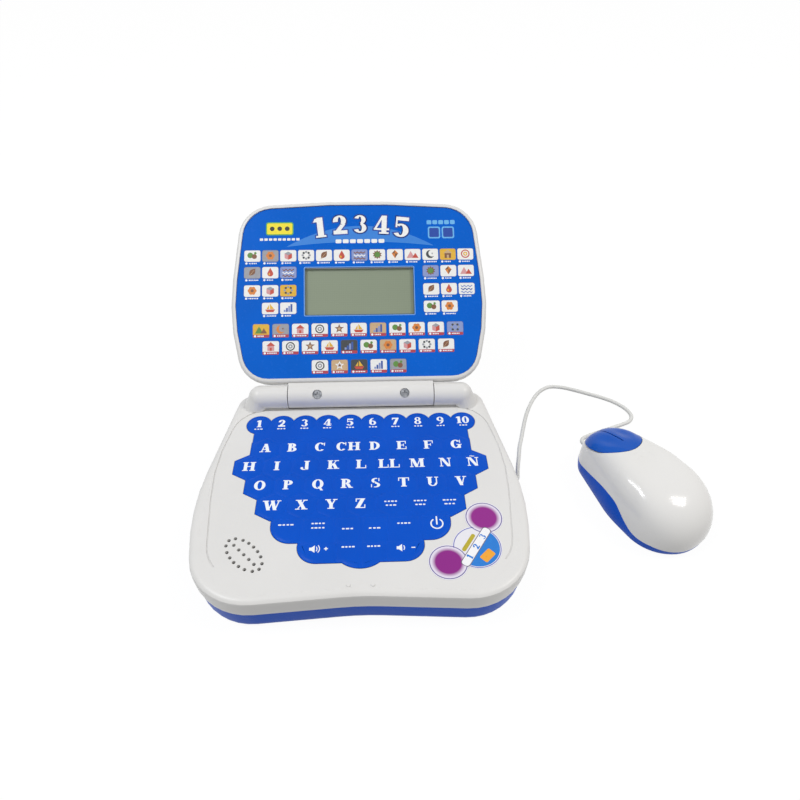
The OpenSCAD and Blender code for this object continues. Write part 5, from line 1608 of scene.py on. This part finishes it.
# ---- mouse ----------------------------------------------------------------------------
@dataclass
class ToyMouse:
    """The toy mouse, moulded finer than its CAD shells from the same rule of rings."""
    at: tuple[float, float, float] = (163.6, 0.9, 0.0)
    turn: float = 28.5
    length: float = 85.5
    width: float = 50.5
    height: float = 34.0
    floor: float = 0.8
    belt: float = 8.0
    peak_y: float = 10.0
    nose_drop: float = 3.6
    wall: float = 2.0
    button_rear: float = 12.3
    button_arc: float = 15.6
    button_fold: float = 22.0
    button_low: float = 28.6
    button_slope: float = 24.0
    button_gap: float = 0.35
    button_travel: float = 1.0
    slit: float = 0.8
    dimple: float = 1.15
    split_z: float = 12.0
    bush_z: float = 6.4
    bush_bore: float = 3.55
    screw_spots: tuple[tuple[float, float], ...] = ((0.0, -24.0), (0.0, 6.0))
    boss_tops: tuple[float, float] = (30.6, 32.9)

    def place(self) -> Matrix:
        """Matrix from the mouse's own coordinates, nose towards +Y, to the frame."""
        return Matrix.Translation(self.at) @ Matrix.Rotation(math.radians(self.turn), 4, "Z")

    def line(self, steps: int = 15) -> list[tuple[Vector, Vector]]:
        """The outline at the belt, with outward normals."""
        nose = self.length / 2
        half = [(self.width / 2 + 1.7, -nose, 25.5), (self.width / 2 + 1, -1, 55), (14.6, nose, 16)]
        return outline(mirrored(half), steps)

    def dent(self, x: float, y: float) -> float:
        """Depth of the finger dimples at a place on the buttons."""
        return sum(self.dimple * math.exp(-((x - s * 6.6) / 3.9) ** 2 - ((y - 27.5) / 6.2) ** 2)
                   for s in (-1, 1))

    def solid(self, name: str, sunk: float, dented: bool = False) -> bpy.types.Object:
        """The full body, its skin sunk by some millimetres, and dimpled where asked."""
        nose, line = self.length / 2, self.line()
        rings = [[(p.x - n.x * d, p.y - n.y * d, z) for p, n in line]
                 for d, z in ((3.4 + sunk, self.floor + sunk), (2 + sunk, self.floor + 0.7 + sunk),
                              (0.8 + sunk, self.floor + 2.4 + sunk), (sunk, self.belt))]
        shares = [0.995, 0.985, 0.97, 0.95, 0.925, 0.895, 0.86, 0.82] + [
            0.78 - 0.04 * k for k in range(19)]
        for s in shares:
            ring = []
            for p, n in line:
                front = max(0.0, min(1.0, (p.y - self.peak_y) / (nose - self.peak_y))) ** 1.5
                e, k = 4 - 1.5 * front, 0.47 - 0.25 * front
                x = (p.x - n.x * sunk) * s
                y = self.peak_y + (p.y - n.y * sunk - self.peak_y) * s
                high = self.height - sunk - self.belt - self.nose_drop * front * s
                z = self.belt + high * (1 - s ** e) ** k
                ring.append((x, y, z - (self.dent(x, y) if dented else 0)))
            rings.append(ring)
        stock = Stock(name)
        stock.skin(rings)
        return stock.build([])

    def prism(self, name: str, loop: Loop, low: float, high: float, sideways: bool = False
              ) -> bpy.types.Object:
        """A straight solid over a loop, rising along Z, or along X over a loop in Y and Z."""
        axes = Matrix(((0, 0, 1, 0), (1, 0, 0, 0), (0, 1, 0, 0), (0, 0, 0, 1)))
        stock = Stock(name, axes if sideways else Matrix.Identity(4))
        stock.slab(face_up(loop), low, high)
        return stock.build([])

    def seam(self) -> bpy.types.Object:
        """The solid under the wavy seam between the two shells."""
        top = []
        for k in range(209):
            y = -52 + 0.5 * k
            z = 7.5 + 10 * math.exp(-(y / (30 if y > 0 else 13)) ** 2) - 0.2 * max(0.0, -y - 30)
            top.append((y, z))
        return self.prism("seam_tool", [(-52, -5), (52, -5)] + top[::-1], -40, 40, True)

    def zone(self, grow: float, drop: float) -> bpy.types.Object:
        """The region of the buttons: in front of an arc and above a face that falls forwards."""
        r, mid = self.button_arc + grow, self.button_rear + self.button_arc
        loop = [(r, mid + 40), (-r, mid + 40)]
        loop += [(-r * math.cos(math.pi * k / 48), mid - r * math.sin(math.pi * k / 48))
                 for k in range(49)]
        tool = self.prism("zone_tool", loop, 0, 60)
        low, fall = self.button_low - drop, 40 * math.tan(math.radians(self.button_slope))
        side = self.prism("zone_side", [(0, low), (self.button_fold, low),
                                        (self.button_fold + 40, low - fall),
                                        (self.button_fold + 40, 60), (0, 60)], -30, 30, True)
        carve(tool, side, "INTERSECT")
        return tool

    def bore(self) -> bpy.types.Object:
        """The round hole of the cord's bush through the nose."""
        loop = round_loop(0, self.bush_z, self.bush_bore / 2, steps=24)
        axes = Matrix(((1, 0, 0, 0), (0, 0, -1, 0), (0, 1, 0, 0), (0, 0, 0, 1)))
        stock = Stock("bore_tool", axes)
        stock.slab(loop, -self.length / 2 - 3, -self.length / 2 + 6)
        return stock.build([])

    def settle(self, piece: bpy.types.Object, finish: bpy.types.Material, sharp: float
               ) -> bpy.types.Object:
        """Moves a finished moulding to its place, dresses it and shades it."""
        place = self.place()
        place.translation = place.translation * MM
        shape = bmesh.new()
        shape.from_mesh(piece.data)
        bmesh.ops.remove_doubles(shape, verts=shape.verts, dist=4e-6)
        bmesh.ops.transform(shape, matrix=place, verts=shape.verts)
        shape.to_mesh(piece.data)
        shape.free()
        piece.data.materials.clear()
        piece.data.materials.append(finish)
        piece.data.polygons.foreach_set("material_index", [0] * len(piece.data.polygons))
        soften(piece, sharp)
        even_out(piece)
        return piece

    def top(self, finishes: Finishes) -> None:
        """Makes the white upper shell."""
        shell = self.solid("mouse_top_moulding", 0)
        carve(shell, self.solid("mouse_hollow", self.wall), "DIFFERENCE")
        carve(shell, self.seam(), "DIFFERENCE")
        carve(shell, self.zone(0, self.button_travel), "DIFFERENCE")
        for (x, y), foot, head in zip(self.screw_spots, (self.split_z, self.split_z + 1.6),
                                      self.boss_tops):
            carve(shell, self.prism("boss", round_loop(x, y, 3, steps=24), foot, head), "UNION")
            carve(shell, self.prism("pilot", round_loop(x, y, 1.2, steps=16), foot - 1, foot + 9),
                  "DIFFERENCE")
        carve(shell, self.bore(), "DIFFERENCE")
        fit(self.settle(shell, finishes.get(Finishes.SATIN), 30), "mouse", "white_shell",
            "mouse_top_shell")

    def bottom(self, finishes: Finishes) -> None:
        """Makes the blue lower shell with its posts, feet and screw pockets."""
        shell = self.solid("mouse_bottom_moulding", 0)
        carve(shell, self.solid("mouse_hollow", self.wall), "DIFFERENCE")
        carve(shell, self.seam(), "INTERSECT")
        for x, y in self.screw_spots:
            carve(shell, self.prism("post", round_loop(x, y, 3.5, steps=28), self.floor + 1,
                                    self.split_z), "UNION")
            carve(shell, self.prism("pocket", round_loop(x, y, 2.7, steps=28), -1, 3.5),
                  "DIFFERENCE")
            carve(shell, self.prism("shank", round_loop(x, y, 1.45, steps=20), -1, 20),
                  "DIFFERENCE")
        for x in (-15, 15):
            for y in (-30, 18):
                carve(shell, self.prism("foot", round_loop(x, y, 3, steps=24), 0, 1.5), "UNION")
        carve(shell, self.bore(), "DIFFERENCE")
        fit(self.settle(shell, finishes.get(Finishes.BLUE), 30), "mouse", "blue_shell",
            "mouse_bottom_shell")

    def buttons(self, finishes: Finishes) -> None:
        """Makes the two halves of the button moulding."""
        fold_low = self.place() @ Vector((0, self.button_fold - 3, 24)) * MM
        fold_high = self.place() @ Vector((0, self.button_fold + 3, 24)) * MM
        for side, body, nodes in ((-1, "left_button", ("mouse_button_left", "mouse_button_bridge")),
                                  (1, "right_button", ("mouse_button_right",))):
            cap = self.solid(body + "_cap", 0, True)
            carve(cap, self.solid("cap_hollow", self.wall), "DIFFERENCE")
            carve(cap, self.zone(-self.button_gap, 0), "INTERSECT")
            edge, slit = 30.0 * side, self.slit / 2 * side
            loop = [(0, 0), (edge, 0), (edge, 60), (slit, 60), (slit, self.button_fold - 0.6),
                    (0, self.button_fold - 0.6)]
            carve(cap, self.prism("half", loop, -1, 60), "INTERSECT")
            self.settle(cap, finishes.get(Finishes.CAP), 30)
            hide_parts(*nodes)
            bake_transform(cap)

    def make(self, finishes: Finishes) -> None:
        """Makes the mouse's mouldings."""
        self.top(finishes)
        self.bottom(finishes)
        self.buttons(finishes)


# ---- run ------------------------------------------------------------------------------
def main() -> None:
    """Makes the studio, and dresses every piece."""
    logging.basicConfig(level=logging.INFO, format="%(message)s")
    finishes = Finishes()
    studio = Studio()
    studio.camera()
    MouseCord().make(finishes)
    studio.floor()
    studio.light()
    dress_nodes(finishes)
    base = Base()
    base.shells(finishes)
    base.sticker(finishes)
    Keypad().make(finishes)
    Lid().make(finishes)
    ToyMouse().make(finishes)


if __name__ == "__main__":
    main()
